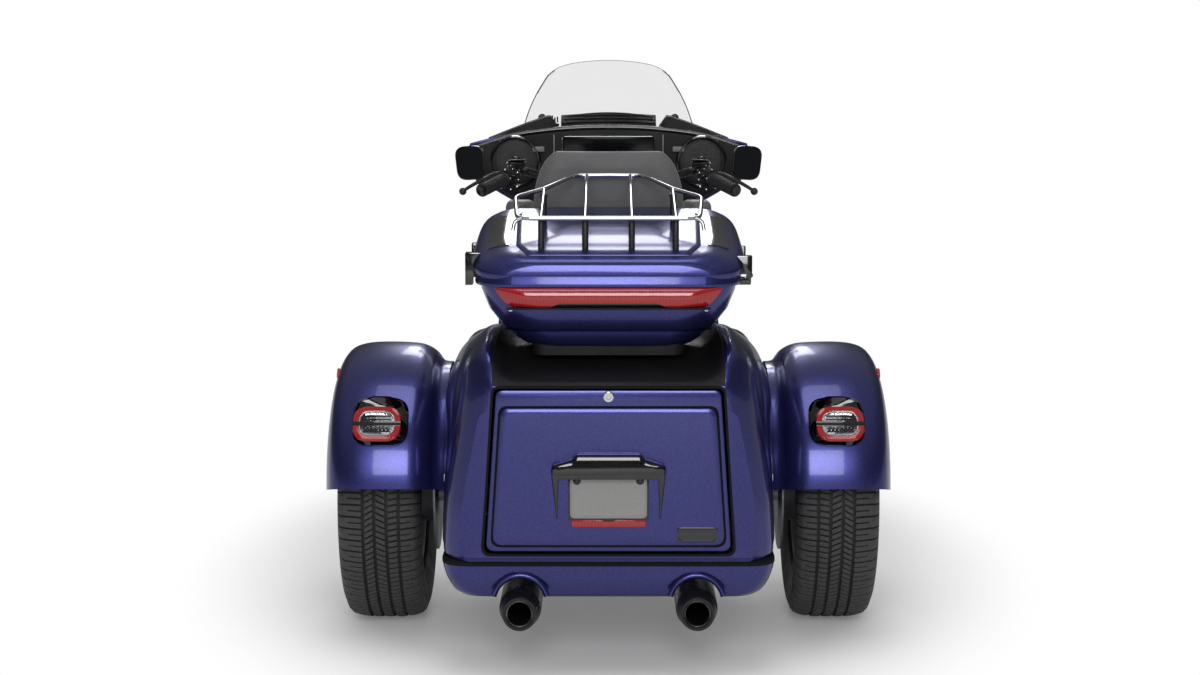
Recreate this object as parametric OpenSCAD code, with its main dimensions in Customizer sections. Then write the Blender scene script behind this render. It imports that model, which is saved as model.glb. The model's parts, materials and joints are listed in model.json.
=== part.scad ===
// Motorized touring trike: one steered front wheel, two driven rear wheels,
// a rear body with a drop-down door, a top case with a side-hinged lid.
// Millimetres. X is to the right, Y forward, Z up. Origin on the floor, mid length.

/* [Wheelbase] */
// Distance between the front and rear axles
wheelbase = 1670; // [1560:5:1800]
// Rear axle's place along the length
rear_axle_y = -660; // [-680:5:-640]
// Distance between the centres of the two rear tyres
rear_track = 1136; // [1120:2:1160]

/* [Rear wheels] */
// Outer diameter of a rear tyre
rear_tyre_d = 648; // [600:2:660]
// Width of a rear tyre
rear_tyre_w = 208; // [190:2:214]
// Diameter of a rear rim over its flanges
rear_rim_d = 410; // [380:2:430]

/* [Front wheel] */
// Outer diameter of the front tyre
front_tyre_d = 640; // [600:2:660]
// Width of the front tyre
front_tyre_w = 130; // [110:2:134]
// Diameter of the front rim over its flanges
front_rim_d = 436; // [410:2:450]

/* [Steering] */
// Lean of the steering axis from the vertical, in degrees
rake = 26; // [24:0.5:28]
// Distance on the floor from the steering axis to the front contact point
trail = 100; // [90:2:120]
// Distance between the middles of the two fork legs
fork_spread = 224; // [214:2:240]
// Outer diameter of a lower fork leg
slider_d = 58; // [50:1:62]

/* [Rear body] */
// Wall thickness of the rear body and of its door
body_wall = 12; // [10:1:16]
// Height of the rear body's floor above the road
body_floor_z = 281; // [275:1:290]
// Rearmost face of the rear body, along the length
body_rear_y = -1290; // [-1296:1:-1284]
// Width of the door opening at its lower edge
door_w = 572; // [540:2:580]
// Height of the door opening
door_h = 380; // [360:2:400]
// Gap all round the door
door_gap = 5; // [4:0.5:7]
// Thickness of the fender shells
fender_wall = 8; // [6:1:10]

/* [Top case] */
// Width of the case at its rim
case_w = 620; // [600:2:640]
// Length of the case along the vehicle
case_l = 470; // [440:2:490]
// Height of the rim where lid and base meet
case_rim_z = 930; // [920:1:936]
// Height of the case's underside
case_floor_z = 812; // [808:1:816]
// Wall of the case and its lid
case_wall = 8; // [6:1:12]
// Gap between base and lid
lid_gap = 6; // [5:0.5:8]

/* [Tubes] */
// Diameter of the main frame tubes
frame_d = 34; // [30:1:38]
// Diameter of the chrome rack tube
rack_d = 11; // [9:1:13]
// Diameter of the engine guard tube
guard_d = 32; // [28:1:36]
// Diameter of the handlebar tube
bar_d = 25.4; // [22:0.1:32]
// Diameter of a hand grip
grip_d = 38; // [34:1:42]
// Outer diameter of a muffler
muffler_d = 98; // [90:1:104]

/* [Plate] */
// Distance between the two licence plate bolts
plate_bolt_pitch = 146; // [140:1:152]
// Diameter of the licence plate bolt holes
plate_bolt_d = 7; // [6:0.5:9]

/* [Hidden] */
$fn = 48;

// Places worked out from the driving sizes
front_axle_y = rear_axle_y + wheelbase;
rear_r = rear_tyre_d / 2;
front_r = front_tyre_d / 2;
tyre_x = rear_track / 2;
lid_z = case_rim_z + lid_gap;
case_rear_y = -1262;
case_front_y = case_rear_y + case_l;
// The steering axis meets the floor this far forward
head_floor_y = front_axle_y + trail;
// Perpendicular distance from the steering axis to the fork legs
fork_offset = (front_r * tan(rake) - trail) * cos(rake);
door_z = body_floor_z + 27;
door_y = body_rear_y - 8;
door_t = 26;
// Door hinge axis, just inside its lower outer edge
door_pin_d = 9;
door_pin_y = door_y + 8;
door_pin_z = door_z + 8;
// Gap between neighbouring pieces that are bolted together
seat_gap = 0.3;
// Diameter of the steering stem
stem_d = 38;
// Height of the body deck under the passenger
deck_z = 742;
// Front wall of the load space
body_front_y = -790;

// Smooth curves through rows of numbers
function cr(a, b, c, d, t) = 0.5 * ((2 * b) + (c - a) * t
  + (2 * a - 5 * b + 4 * c - d) * t * t + (3 * b - a - 3 * c + d) * t * t * t);
function smooth(rows, k) = concat(
  [for (i = [0:len(rows) - 2]) for (j = [0:k - 1])
    cr(rows[max(i - 1, 0)], rows[i], rows[i + 1], rows[min(i + 2, len(rows) - 1)], j / k)],
  [rows[len(rows) - 1]]);
function bez(a, b, c, n) = [for (i = [0:n]) let (t = i / n)
  (1 - t) * (1 - t) * a + 2 * t * (1 - t) * b + t * t * c];
function unit(v) = v / max(norm(v), 0.001);
// Outline with each corner rounded over the distance ds[i]
function rounded(pts, ds, n) = [for (i = [0:len(pts) - 1])
  let (p = pts[i], a = pts[(i + len(pts) - 1) % len(pts)], c = pts[(i + 1) % len(pts)],
       d = min(ds[i], norm(a - p) * 0.48, norm(c - p) * 0.48))
  for (q = bez(p + d * unit(a - p), p, p + d * unit(c - p), n)) q];
// A half outline listed from bottom to top on the right, completed on the left
function sym(h) = concat(h, [for (i = [len(h) - 1:-1:0]) [-h[i][0], h[i][1]]]);
function symd(d) = concat(d, [for (i = [len(d) - 1:-1:0]) d[i]]);
function at_x(ring, x) = [for (p = ring) [x, p[0], p[1]]];
function at_y(ring, y) = [for (p = ring) [p[0], y, p[1]]];
function at_z(ring, z) = [for (p = ring) [p[0], p[1], z]];
function lerp(a, b, t) = a + (b - a) * t;
function sum(v, i = 0) = i >= len(v) ? [0, 0, 0] : v[i] + sum(v, i + 1);
function mean(v) = sum(v) / len(v);
function ring_turn(r) = let (c = mean(r)) sum([for (i = [0:len(r) - 1])
  cross(r[i] - c, r[(i + 1) % len(r)] - c)]);

// Closed solid through a row of rings with equal numbers of points.
// With folded = true a ring is an outer row and then the inner row backwards.
module skin(rings, folded = false) {
  n = len(rings[0]);
  m = len(rings);
  way = ring_turn(rings[0]) * (mean(rings[1]) - mean(rings[0])) < 0;
  side = [for (i = [0:m - 2]) for (j = [0:n - 1]) let (k = (j + 1) % n)
    each [[i * n + j, (i + 1) * n + j, (i + 1) * n + k], [i * n + j, (i + 1) * n + k, i * n + k]]];
  h = n / 2;
  cap = folded
    ? [for (j = [0:h - 2]) each [[j, j + 1, n - 2 - j], [j, n - 2 - j, n - 1 - j]]]
    : [for (j = [1:n - 2]) [0, j, j + 1]];
  last = [for (f = cap) [f[2] + (m - 1) * n, f[1] + (m - 1) * n, f[0] + (m - 1) * n]];
  all = concat(side, cap, last);
  polyhedron(points = [for (r = rings) each r],
    faces = way ? [for (f = all) [f[2], f[1], f[0]]] : all);
}

// Round rod between two points
module rod(a, b, d) {
  v = b - a;
  translate(a) rotate([0, acos(v[2] / norm(v)), atan2(v[1], v[0])]) cylinder(h = norm(v), d = d);
}

// Path with each inner corner turned into a bend
function bent(pts, reach, n) = concat([pts[0]], [for (i = [1:1:len(pts) - 2])
  let (p = pts[i], a = pts[i - 1], c = pts[i + 1],
       e = min(reach, norm(a - p) * 0.45, norm(c - p) * 0.45))
  each bez(p + e * unit(a - p), p, p + e * unit(c - p), n)], [pts[len(pts) - 1]]);
function across(v) = unit(cross(v, abs(v[2]) < 0.9 ? [0, 0, 1] : [1, 0, 0]));
function carry(dirs, i, s) = i >= len(dirs) ? []
  : let (q = unit(s - (s * dirs[i]) * dirs[i])) concat([q], carry(dirs, i + 1, q));

// Bent tube along points
module tube(pts, d, reach = 70, n = 3, sides = 12) {
  path = bent(pts, reach, n);
  m = len(path);
  dirs = [for (i = [0:m - 1]) unit((i < m - 1 ? unit(path[i + 1] - path[i]) : [0, 0, 0])
    + (i > 0 ? unit(path[i] - path[i - 1]) : [0, 0, 0]))];
  us = carry(dirs, 0, across(dirs[0]));
  skin([for (i = [0:m - 1]) [for (j = [0:sides - 1]) let (a = 360 * j / sides)
    path[i] + (d / 2) * (cos(a) * us[i] + sin(a) * cross(dirs[i], us[i]))]]);
}

// The same thing on the right and, mirrored, on the left
module both_sides() {
  children();
  mirror([1, 0, 0]) children();
}

// Block with rounded vertical edges, standing on its own base
module slab(x, y, z, r) {
  linear_extrude(z) hull() for (i = [-1, 1], j = [-1, 1])
    translate([i * (x / 2 - r), j * (y / 2 - r)]) circle(r, $fn = 32);
}

// Into the frame of the steering axis: Z up along the axis, origin on the floor
module steered() {
  translate([0, head_floor_y, 0]) rotate([rake, 0, 0]) children();
}

// ---- Main frame and running gear ----

// Right-hand main tube: down from the head, under the engine and up to the seat
function cradle() = [[26, 690, 800], [70, 640, 640], [132, 600, 300], [140, 560, 180],
  [140, -190, 180], [132, -236, 330], [118, -236, 590], [0, -160, 668]];
// Backbone under the tank
function backbone() = [[0, 690, 850], [0, 120, 758], [0, -160, 668]];
// Right-hand tube that carries the rear body
function seat_rail() = [[118, -236, 590], [150, -420, 480], [150, body_front_y, 450]];

module frame() {
  color("#18181a") difference() {
    union() {
      steered() translate([0, 0, 850]) cylinder(h = 150, d = 72);
      both_sides() tube(cradle(), frame_d);
      both_sides() tube(seat_rail(), frame_d);
      tube(backbone(), frame_d + 8);
      cross_tube(frame_d - 4);
      rod([-150, -600, 464], [150, -600, 464], frame_d - 4);
    }
    steered() translate([0, 0, 840]) cylinder(h = 170, d = stem_d + 2 * seat_gap);
    // The rails stop flat against the rear body
    translate([-300, body_front_y - 200 + seat_gap, 300]) cube([600, 200, 300]);
  }
}

swing_x = 192;
axle_tube_d = 90;
axle_end_x = 418;

module axle_line(y, z, d, x0, x1) {
  translate([x0, y, z]) rotate([0, 90, 0]) cylinder(h = x1 - x0, d = d);
}

module swingarm() {
  color("#1c1c1e") difference() {
    union() {
      both_sides() tube([[swing_x, -222, 290], [swing_x, rear_axle_y, rear_r]], 40);
      both_sides() axle_line(-222, 290, 46, 136, swing_x + 20);
      rod([-swing_x, -420, 306], [swing_x, -420, 306], 36);
    }
    both_sides() tube(cradle(), frame_d + 2 * seat_gap);
    axle_line(rear_axle_y, rear_r, axle_tube_d + 2 * seat_gap, -300, 300);
  }
}

module axle_housing() {
  color("#26262a") {
    axle_line(rear_axle_y, rear_r, axle_tube_d, -axle_end_x, axle_end_x);
    difference() {
      union() {
        axle_line(rear_axle_y, rear_r, 210, -60, 60);
        axle_line(rear_axle_y, rear_r, 140, -80, 90);
      }
      axle_line(rear_axle_y, rear_r, axle_tube_d - 2, -100, 100);
    }
    // Brake carrier flanges
    both_sides() axle_line(rear_axle_y, rear_r, 130, 396, 410);
  }
}

crank_y = 230;
crank_z = 330;
primary_y = -90;
primary_rear_y = 62;

cross_tube_y = 80;
cross_tube_z = 180;
module cross_tube(d) {
  rod([-140, cross_tube_y, cross_tube_z], [140, cross_tube_y, cross_tube_z], d);
}

module engine_case() {
  color("#2a2a2d") {
    difference() {
      union() {
        axle_line(crank_y, crank_z, 250, -95, 95);
        axle_line(primary_y, crank_z - 10, 190, -72, 95);
        translate([-72, primary_y, 232]) cube([167, crank_y - primary_y, 180]);
        // Primary cover on the left, cam cover on the right
        axle_line(crank_y, crank_z, 190, -150, -90);
        axle_line(primary_rear_y, crank_z - 10, 190, -150, -90);
        translate([-150, primary_rear_y, 225]) cube([60, crank_y - primary_rear_y, 190]);
        axle_line(crank_y, crank_z + 10, 170, 90, 128);
        // Lug that stands on the cross tube
        translate([-40, cross_tube_y - 22, cross_tube_z]) cube([80, 44, 60]);
      }
      // Room for the cross tube of the frame
      cross_tube(frame_d - 4 + 2 * seat_gap);
    }
    // Oil filter at the front
    translate([-40, 340, 290]) cube([80, 70, 80]);
  }
}

cylinder_lean = 22.5;
barrel_d = 118;
fin_d = 150;
fin_pitch = 14;

head_x = 64;
module leaned(way) {
  translate([0, crank_y, crank_z]) rotate([-way * cylinder_lean, 0, 0]) children();
}
module one_cylinder(way) {
  leaned(way) difference() {
    union() {
      translate([0, 0, 114]) cylinder(h = 136, d = barrel_d);
      for (i = [0:7]) translate([0, 0, 138 + i * fin_pitch]) cylinder(h = 6, d = fin_d);
      translate([-head_x, -62, 246]) cube([2 * head_x, 124, 62]);
      translate([-56, -54, 308]) cube([112, 108, 34]);
    }
    // The two banks meet on the middle plane
    rotate([way * cylinder_lean, 0, 0]) translate([-100, way > 0 ? -200 : 0, 0])
      cube([200, 200 - 1, 400]);
  }
}

module cylinders() {
  color("#4a4a4e") difference() {
    union() {
      one_cylinder(1);
      one_cylinder(-1);
    }
    axle_line(crank_y, crank_z, 250 + 2 * seat_gap, -200, 200);
  }
}

intake_z = 606;
module air_cleaner() {
  color("#1b1b1d") {
    axle_line(crank_y, 560, 178, 106, 170);
    axle_line(crank_y, 560, 150, 170, 184);
    axle_line(crank_y, intake_z, 50, 4, 106);
    // Intake stubs to both heads
    for (way = [-1, 1]) leaned(way) rod([30, -way * (62 + seat_gap), 268], [30, -way * 94, 268], 40);
  }
}

belt_x = -112;
belt_w = 24;
pulley_r = 112;
front_pulley_r = 52;
module belt_outline(grow) {
  hull() {
    translate([rear_axle_y, rear_r]) circle(pulley_r + grow);
    translate([-110, 300]) circle(front_pulley_r + grow);
  }
}
module drive_belt() {
  color("#1d1d1d") {
    translate([belt_x, 0, 0]) rotate([90, 0, 90]) linear_extrude(belt_w) difference() {
      belt_outline(6);
      belt_outline(0.3);
    }
    difference() {
      union() {
        axle_line(rear_axle_y, rear_r, 2 * pulley_r, belt_x, belt_x + belt_w);
        axle_line(-110, 300, 2 * front_pulley_r, belt_x, belt_x + belt_w);
      }
      axle_line(rear_axle_y, rear_r, axle_tube_d + 2 * seat_gap, -150, -50);
      axle_line(-110, 300, 40, -150, -50);
    }
  }
}

pipe_d = 45;
muffler_x = 206;
muffler_z = 170;
muffler_front_y = -640;

module header_pipes() {
  color("#3c3a38") difference() {
    union() {
      tube([[60, 352, 585], [140, 420, 570], [196, 470, 420], [muffler_x, 410, 230],
        [muffler_x, 340, muffler_z], [muffler_x, muffler_front_y, muffler_z]], pipe_d);
      tube([[60, 112, 585], [140, 70, 570], [186, 40, 420], [190, 40, 260],
        [muffler_x, -40, muffler_z]], pipe_d);
      tube([[muffler_x, -250, muffler_z], [150, -290, 134], [-150, -290, 134],
        [-muffler_x, -340, muffler_z], [-muffler_x, muffler_front_y, muffler_z]], pipe_d - 5);
    }
    // Ends flat against the heads and the mufflers
    translate([-head_x - seat_gap, -100, 400]) cube([2 * (head_x + seat_gap), 700, 300]);
    translate([-300, muffler_front_y - 100 + seat_gap, 100]) cube([600, 100, 150]);
  }
}

module mufflers() {
  color("#1a1a1b") both_sides() translate([muffler_x, 0, muffler_z]) rotate([90, 0, 0]) {
    translate([0, 0, -muffler_front_y]) cylinder(h = 60, d1 = pipe_d + 3, d2 = muffler_d);
    translate([0, 0, -muffler_front_y + 60]) cylinder(h = 590, d = muffler_d);
    difference() {
      translate([0, 0, -muffler_front_y + 650]) cylinder(h = 45, d = 80);
      translate([0, 0, -muffler_front_y + 656]) cylinder(h = 60, d = 56);
    }
  }
}

// ---- Tank, console, seat ----

// y, half width, underside, top
function tank_rows() = smooth([[500, 62, 742, 812], [470, 104, 722, 846], [380, 150, 706, 874],
  [250, 170, 700, 884], [110, 158, 702, 872], [10, 122, 708, 846], [-40, 84, 716, 812]], 3);
function tank_ring(r) = rounded(sym([[r[1] * 0.62, r[2]], [r[1], lerp(r[2], r[3], 0.34)],
  [r[1] * 0.86, lerp(r[2], r[3], 0.82)], [44, r[3]]]), symd([30, 70, 60, 24]), 3);

module fuel_tank() {
  color("#3a3a72") difference() {
    skin([for (r = tank_rows()) at_y(tank_ring(r), r[0])]);
    // Tunnel over the backbone tube
    tube(backbone(), frame_d + 8 + 2 * seat_gap);
    translate([-28, -60, 600]) cube([56, 620, 140]);
  }
}

// The console lies on the flat ridge of the tank
module console() {
  rows = [for (r = tank_rows()) if (r[0] < 400 && r[0] > 0) r];
  color("#222226") skin([for (r = rows)
    at_y(rounded([[36, r[3] + 1], [30, r[3] + 22], [-30, r[3] + 22], [-36, r[3] + 1]],
      [1, 8, 8, 1], 2), r[0])]);
}

// y, half width, underside, top
function seat_rows() = smooth([[-48, 60, 742, 786], [-90, 96, 728, 790], [-180, 140, 706, 752],
  [-290, 168, 700, 742], [-390, 176, 700, 760], [-440, 178, 716, 806], [-484, 178, 742, 838],
  [-540, 176, deck_z + seat_gap, 846], [-620, 174, deck_z + seat_gap, 847],
  [-690, 161, deck_z + 0.5, 848], [-700, 160, deck_z + 1, 848],
  [-716, 150, deck_z + 8, 838]], 2);

module seat() {
  color("#1c1c1f") skin([for (r = seat_rows())
    at_y(rounded(sym([[r[1] * 0.9, r[2]], [r[1], lerp(r[2], r[3], 0.45)], [r[1] * 0.8, r[3]]]),
      symd([14, 24, 40]), 2), r[0])]);
}

backrest_w = 200;
// z, half width, rear y, front y
function backrest_rows() = smooth([[868, 170, -768, -728], [900, 192, -774, -716],
  [1000, backrest_w, -776, -708], [1100, 198, -778, -708], [1170, 180, -780, -716],
  [1212, 150, -776, -728], [1221, 130, -768, -742]], 3);

module backrest() {
  color("#2b2b30") {
    // Feet that hold it on the front of the case
    both_sides() translate([60, case_front_y + seat_gap, 906]) cube([50, 30, 20]);
    skin([for (r = backrest_rows())
    at_z(rounded([[r[1], r[2]], [r[1], r[3]], [-r[1], r[3]], [-r[1], r[2]]],
      [18, 26, 26, 18], 3), r[0])]);
  }
}

module armrests() {
  color("#232327") both_sides() difference() {
    skin([for (r = smooth([[-782, 186, 262, 1012, 1078], [-740, 184, 266, 1006, 1090],
      [-640, 186, 264, 1010, 1086], [-560, 190, 256, 1020, 1070], [-530, 200, 244, 1030, 1058]], 2))
      at_y(rounded([[r[2], r[3]], [r[2], r[4]], [r[1], r[4]], [r[1], r[3]]],
        [16, 16, 16, 16], 3), r[0])]);
    translate([0, -800, 900]) cube([backrest_w + 1.3, 96, 300]);
  }
}

module side_covers() {
  color("#3a3a72") both_sides() difference() {
    union() {
      rod([130, -300, 556], [172, -300, 556], 16);
      translate([168, 0, 0]) rotate([90, 0, 90]) linear_extrude(14)
        polygon(rounded([[-60, 500], [-60, 660], [-200, 688], [-400, 660], [-400, 560],
          [-280, 470]], [30, 30, 60, 30, 40, 60], 4));
    }
    tube(seat_rail(), frame_d + 2 * seat_gap);
  }
}

// ---- Rear body ----

// y, lower, middle, shoulder and ridge half widths, heights of ridge and middle
function body_rows(y0, y1) = [for (r = smooth([
  [-1290, 390, 340, 322, 280, 722, 704], [-1270, 392, 341, 328, 283, 768, 712],
  [-1230, 395, 344, 334, 284, 792, 724], [-1160, 398, 354, 342, 284, 801, 740],
  [-1080, 401, 378, 352, 284, 803, 745], [-1000, 402, 396, 358, 284, 802, 745],
  [-920, 402, 400, 362, 280, 800, 745], [-850, 402, 401, 360, 270, 794, 754],
  [-810, 402, 401, 352, 258, 782, 776], [body_front_y, 402, 401, 348, 250, 776, 776]], 2))
  if (r[0] >= y0 && r[0] <= y1) r];
function body_ring(r, inset, floor_z) = rounded(sym([
  [r[1] - inset, floor_z], [lerp(r[1], r[2], 0.18) - inset, 420],
  [r[2] - inset, min(648, r[5] - 80)], [r[3] - inset, min(742, r[5] - 24 - inset)],
  [r[4] - inset, r[5] - inset], [r[4] - 46, r[6] - inset]]), symd([24, 60, 46, 40, 26, 26]), 2);
// The same row with its ridge brought down level with its middle
function level(r) = [r[0], r[1], r[2], r[3], r[4], r[6], r[6]];

// Front part, over the axle: y, half width, underside, top
function deck_rows() = [[body_front_y - 7, 402, 520, deck_z],
  [-700, 402, 520, deck_z], [-600, 398, 520, deck_z],
  [-540, 380, 524, 738], [-505, 340, 530, 726], [-490, 300, 540, 706]];
function deck_ring(r, inset) = rounded(sym([[r[1] - inset, r[2]],
  [r[1] - inset, 640], [r[1] - 50 - inset, r[3] - inset]]), symd([10, 30, 30]), 3);

module trunk_body() {
  rear = body_rows(-1300, body_front_y);
  hold = body_rows(-1280, body_front_y - body_wall);
  front = deck_rows();
  color("#3a3a72") difference() {
    union() {
      skin(concat([at_y(body_ring(level(rear[0]), 10, body_floor_z + 6), body_rear_y - 8)],
        [for (r = rear) at_y(body_ring(r, 0, body_floor_z), r[0])]));
      skin([for (r = front) at_y(deck_ring(r, 0), r[0])]);
    }
    // Load space
    skin([for (i = [0:len(hold) - 1]) let (r = hold[i])
      at_y(body_ring(i == 0 || i == len(hold) - 1 ? level(r) : r, body_wall,
        body_floor_z + body_wall), r[0])]);
    // Open space over the axle
    skin([for (r = front) at_y(deck_ring([r[0], r[1], r[2] - 40, r[3]], body_wall),
      r[0] == front[0][0] ? r[0] + body_wall : r[0] - body_wall)]);
    // Doorway, and the holes for the hinge pins
    door_prism(door_gap, body_rear_y - 30, body_rear_y + door_t);
    door_pins(door_pin_d + 2 * seat_gap, 16);
  }
}

// The door's outline, grown all round
function door_outline(grow) = rounded([
  [door_w / 2 + grow, door_z - grow], [door_w / 2 - 26 + grow, door_z + door_h + grow],
  [-door_w / 2 + 26 - grow, door_z + door_h + grow], [-door_w / 2 - grow, door_z - grow]],
  [22, 16, 16, 22], 5);
module door_prism(grow, y0, y1) {
  translate([0, y1, 0]) rotate([90, 0, 0]) linear_extrude(y1 - y0) polygon(door_outline(grow));
}

module door_pins(d, reach) {
  both_sides() axle_line(door_pin_y, door_pin_z, d, door_w / 2 - 24, door_w / 2 + reach);
}

module trunk_door() {
  color("#3a3a72") difference() {
    union() {
      door_prism(0, door_y, door_y + door_t - 8);
      door_prism(-18, door_y + door_t - 8, door_y + door_t);
      door_pins(door_pin_d, 14);
    }
    // Lock barrel hole
    translate([0, door_y + 14, door_z + door_h - 28]) rotate([90, 0, 0]) cylinder(h = 30, d = 14);
  }
}

module plate_holder() {
  color("#161617") translate([0, door_y - seat_gap, 0]) rotate([90, 0, 0]) difference() {
    union() {
      translate([0, 440, 0]) slab(186, 112, 10, 6);
      translate([0, 519, 0]) slab(264, 46, 30, 12);
      translate([0, 502, 0]) slab(250, 20, 36, 8);
      for (i = [-1, 1]) translate([i * 110, 450, 0]) slab(22, 112, 18, 8);
    }
    for (i = [-1, 1]) translate([i * plate_bolt_pitch / 2, 478, -1])
      cylinder(h = 50, d = plate_bolt_d);
  }
}

module rear_valance() {
  color("#3a3a72") difference() {
    skin([for (r = smooth([[body_floor_z - seat_gap, 390, -1284], [262, 389, -1282],
      [232, 380, -1276], [206, 366, -1266], [193, 350, -1256]], 2))
      at_z(rounded([[r[1], -1100], [-r[1], -1100], [-r[1], r[2]], [r[1], r[2]]],
        [4, 4, 70, 70], 6), r[0])]);
    skin([for (r = [[300, 378, -1270], [262, 377, -1270], [232, 368, -1264], [206, 354, -1254],
      [180, 330, -1240]])
      at_z(rounded([[r[1], -1080], [-r[1], -1080], [-r[1], r[2]], [r[1], r[2]]],
        [4, 4, 70, 70], 6), r[0])]);
    both_sides() translate([muffler_x, -1200, 0]) {
      translate([-58, -100, 180]) cube([116, 200, 14]);
      translate([0, 100, 194]) rotate([90, 0, 0]) cylinder(h = 200, d = 116);
    }
  }
}

// ---- Fenders and lamps ----

// Angle from forward over the top, radius of the crown
function fender_rows() = smooth([[4, 362], [20, 366], [45, 372], [70, 382], [90, 391],
  [110, 402], [130, 418], [146, 426], [158, 423], [168, 415]], 2);
fender_out_x = tyre_x + 130;
fender_in_x = 401.6;
// How far the wheel arch stands out with the track
fender_shift = tyre_x - 568;
function fender_row(r, inset) = let (q = r[1] - inset, o = fender_out_x - inset,
  bite = sin(r[0]))
  [[fender_in_x, q - 58 + 8 * bite], [fender_in_x + 22, q - 46],
   each [for (p = [[444, -22], [476, -5], [520, 0], [580, 1], [624, -3], [654, -14]])
     [p[0] + fender_shift, q + p[1]]],
   [o - 24, q - 36], [o - 12, q - 64], [o - 5, q - 96], [o, q - 128 - 6 * bite]];
function fender_ring(r) = let (out = fender_row(r, 0), in = fender_row(r, fender_wall),
  ring = concat(out, [for (i = [len(in) - 1:-1:0]) in[i]]))
  [for (p = ring) [p[0], rear_axle_y + p[1] * cos(r[0]), rear_r + p[1] * sin(r[0])]];

module rear_fender_right() {
  color("#3a3a72") skin([for (r = fender_rows()) fender_ring(r)], folded = true);
}
module rear_fender_left() {
  mirror([1, 0, 0]) rear_fender_right();
}

lamp_x = tyre_x - 14;
lamp_angle = 145.5;
lamp_w = 136;
lamp_h = 128;
// A tail lamp stands on the rear of each fender's crown, square to it
module on_crown(angle) {
  translate([0, rear_axle_y, rear_r]) rotate([angle - 90, 0, 0]) children();
}
module tail_lamps() {
  color("#b01018") both_sides() on_crown(lamp_angle) translate([lamp_x, 0, 427]) {
    slab(lamp_w, lamp_h, 12, 12);
    translate([0, 0, 12]) slab(lamp_w - 14, lamp_h - 14, 10, 14);
  }
}

module rear_calipers() {
  color("#6a6a6e") both_sides() on_crown(120) translate([411, -45, 96]) difference() {
      cube([46, 90, 64]);
      translate([23.5, -1, -1]) cube([17, 92, 59]);
    }
}

module shock_absorbers() {
  color("#2c2c30") both_sides() difference() {
    union() {
      rod([232, -640, 398], [232, -600, 506], 40);
      rod([232, -652, 360], [232, -639, 400], 18);
    }
    axle_line(rear_axle_y, rear_r, axle_tube_d + 2 * seat_gap, 200, 260);
  }
}

// ---- Top case ----

case_floor_w = 502;
// z, half width, rear y, front y
function base_rows() = [
  [case_floor_z, case_floor_w / 2 - 12, case_rear_y + 52, case_front_y - 12],
  [case_floor_z + 10, case_floor_w / 2, case_rear_y + 42, case_front_y - 6],
  [case_floor_z + 50, lerp(case_floor_w, case_w, 0.5) / 2, case_rear_y + 24, case_front_y - 2],
  [case_rim_z - 20, case_w / 2 - 12, case_rear_y + 8, case_front_y],
  [case_rim_z, case_w / 2 - 10, case_rear_y + 6, case_front_y]];
function plan(w, y0, y1, corner) = rounded([[w, y0], [w, y1], [-w, y1], [-w, y0]],
  [corner, corner * 0.6, corner * 0.6, corner], 6);

module top_case_base() {
  color("#34346a") difference() {
    skin([for (r = base_rows()) at_z(plan(r[1], r[2], r[3], 110), r[0])]);
    skin([for (r = concat([base_rows()[1]], [for (i = [2:4]) base_rows()[i]]))
      at_z(plan(r[1] - case_wall, r[2] + case_wall, r[3] - case_wall, 104),
        r[0] + (r[0] == case_rim_z ? 5 : 0))]);
    // Rear step for the light bar
    translate([-270, case_rear_y - 40, 874]) cube([540, 50, 49]);
  }
}

module light_bar() {
  color("#b01018") {
    skin([for (r = [[875, 245, -4], [881, 257, -16], [898, 260, -20], [915, 257, -16], [921, 245, -6]])
      at_z(rounded([[r[1], case_rear_y + 9.6], [-r[1], case_rear_y + 9.6],
        [-r[1], case_rear_y + 4], [-r[1] + 60, case_rear_y + r[2]],
        [r[1] - 60, case_rear_y + r[2]], [r[1], case_rear_y + 4]],
        [1, 1, 4, 60, 60, 4], 4), r[0])]);
  }
}

module case_bracket() {
  color("#161617") {
    translate([0, -1020, 754]) slab(358, 330, case_floor_z - 754 - seat_gap, 30);
    both_sides() translate([210, -1020, 800]) slab(70, 300, case_floor_z - 800 - seat_gap, 12);
  }
}

// y, half width at the rim and above it, top
function lid_rows() = smooth([[case_rear_y, 232, 962, 972], [case_rear_y + 8, 262, 966, 984],
  [case_rear_y + 30, 294, 974, 994], [case_rear_y + 70, 312, 985, 1004],
  [-1120, 320, 1004, 1021], [-980, 322, 1028, 1048], [-870, 320, 1046, 1068],
  [-830, 310, 1048, 1073], [-805, 290, 1042, 1067], [case_front_y, 262, 1026, 1050]], 2);
function lid_ring(r, inset) = rounded(sym([[r[1] - 12 - inset, inset > 0 ? lid_z - 6 : lid_z],
  [r[1] - inset, lerp(lid_z, r[2], 0.26)], [r[1] + 2 - inset, lerp(lid_z, r[2], 0.6)],
  [r[1] - 14 - inset, r[2] - inset],
  [r[1] - 62 - inset, r[3] - inset]]), symd([4, 16, 30, 34, 26]), 2);

// The lid's whole outer shape, grown all round
module lid_block(grow) {
  skin([for (r = lid_rows()) at_y(lid_ring([r[0], r[1] + grow, r[2] + grow, r[3] + grow], 0),
    r[0] < -1000 ? r[0] - grow : r[0] + grow)]);
}

module case_lid() {
  rows = lid_rows();
  inner = [for (r = rows) if (r[0] > case_rear_y + 4 && r[0] < case_front_y - 4) r];
  color("#3a3a72") difference() {
    lid_block(0);
    skin([for (r = inner) at_y(lid_ring(r, case_wall), r[0] < -1000 ? r[0] + 5 : r[0] - 5)]);
  }
}

hinge_x = 330;
hinge_z = case_rim_z + 12;

knuckle_d = 14;
hinge_ys = [-1150, -900];
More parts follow.
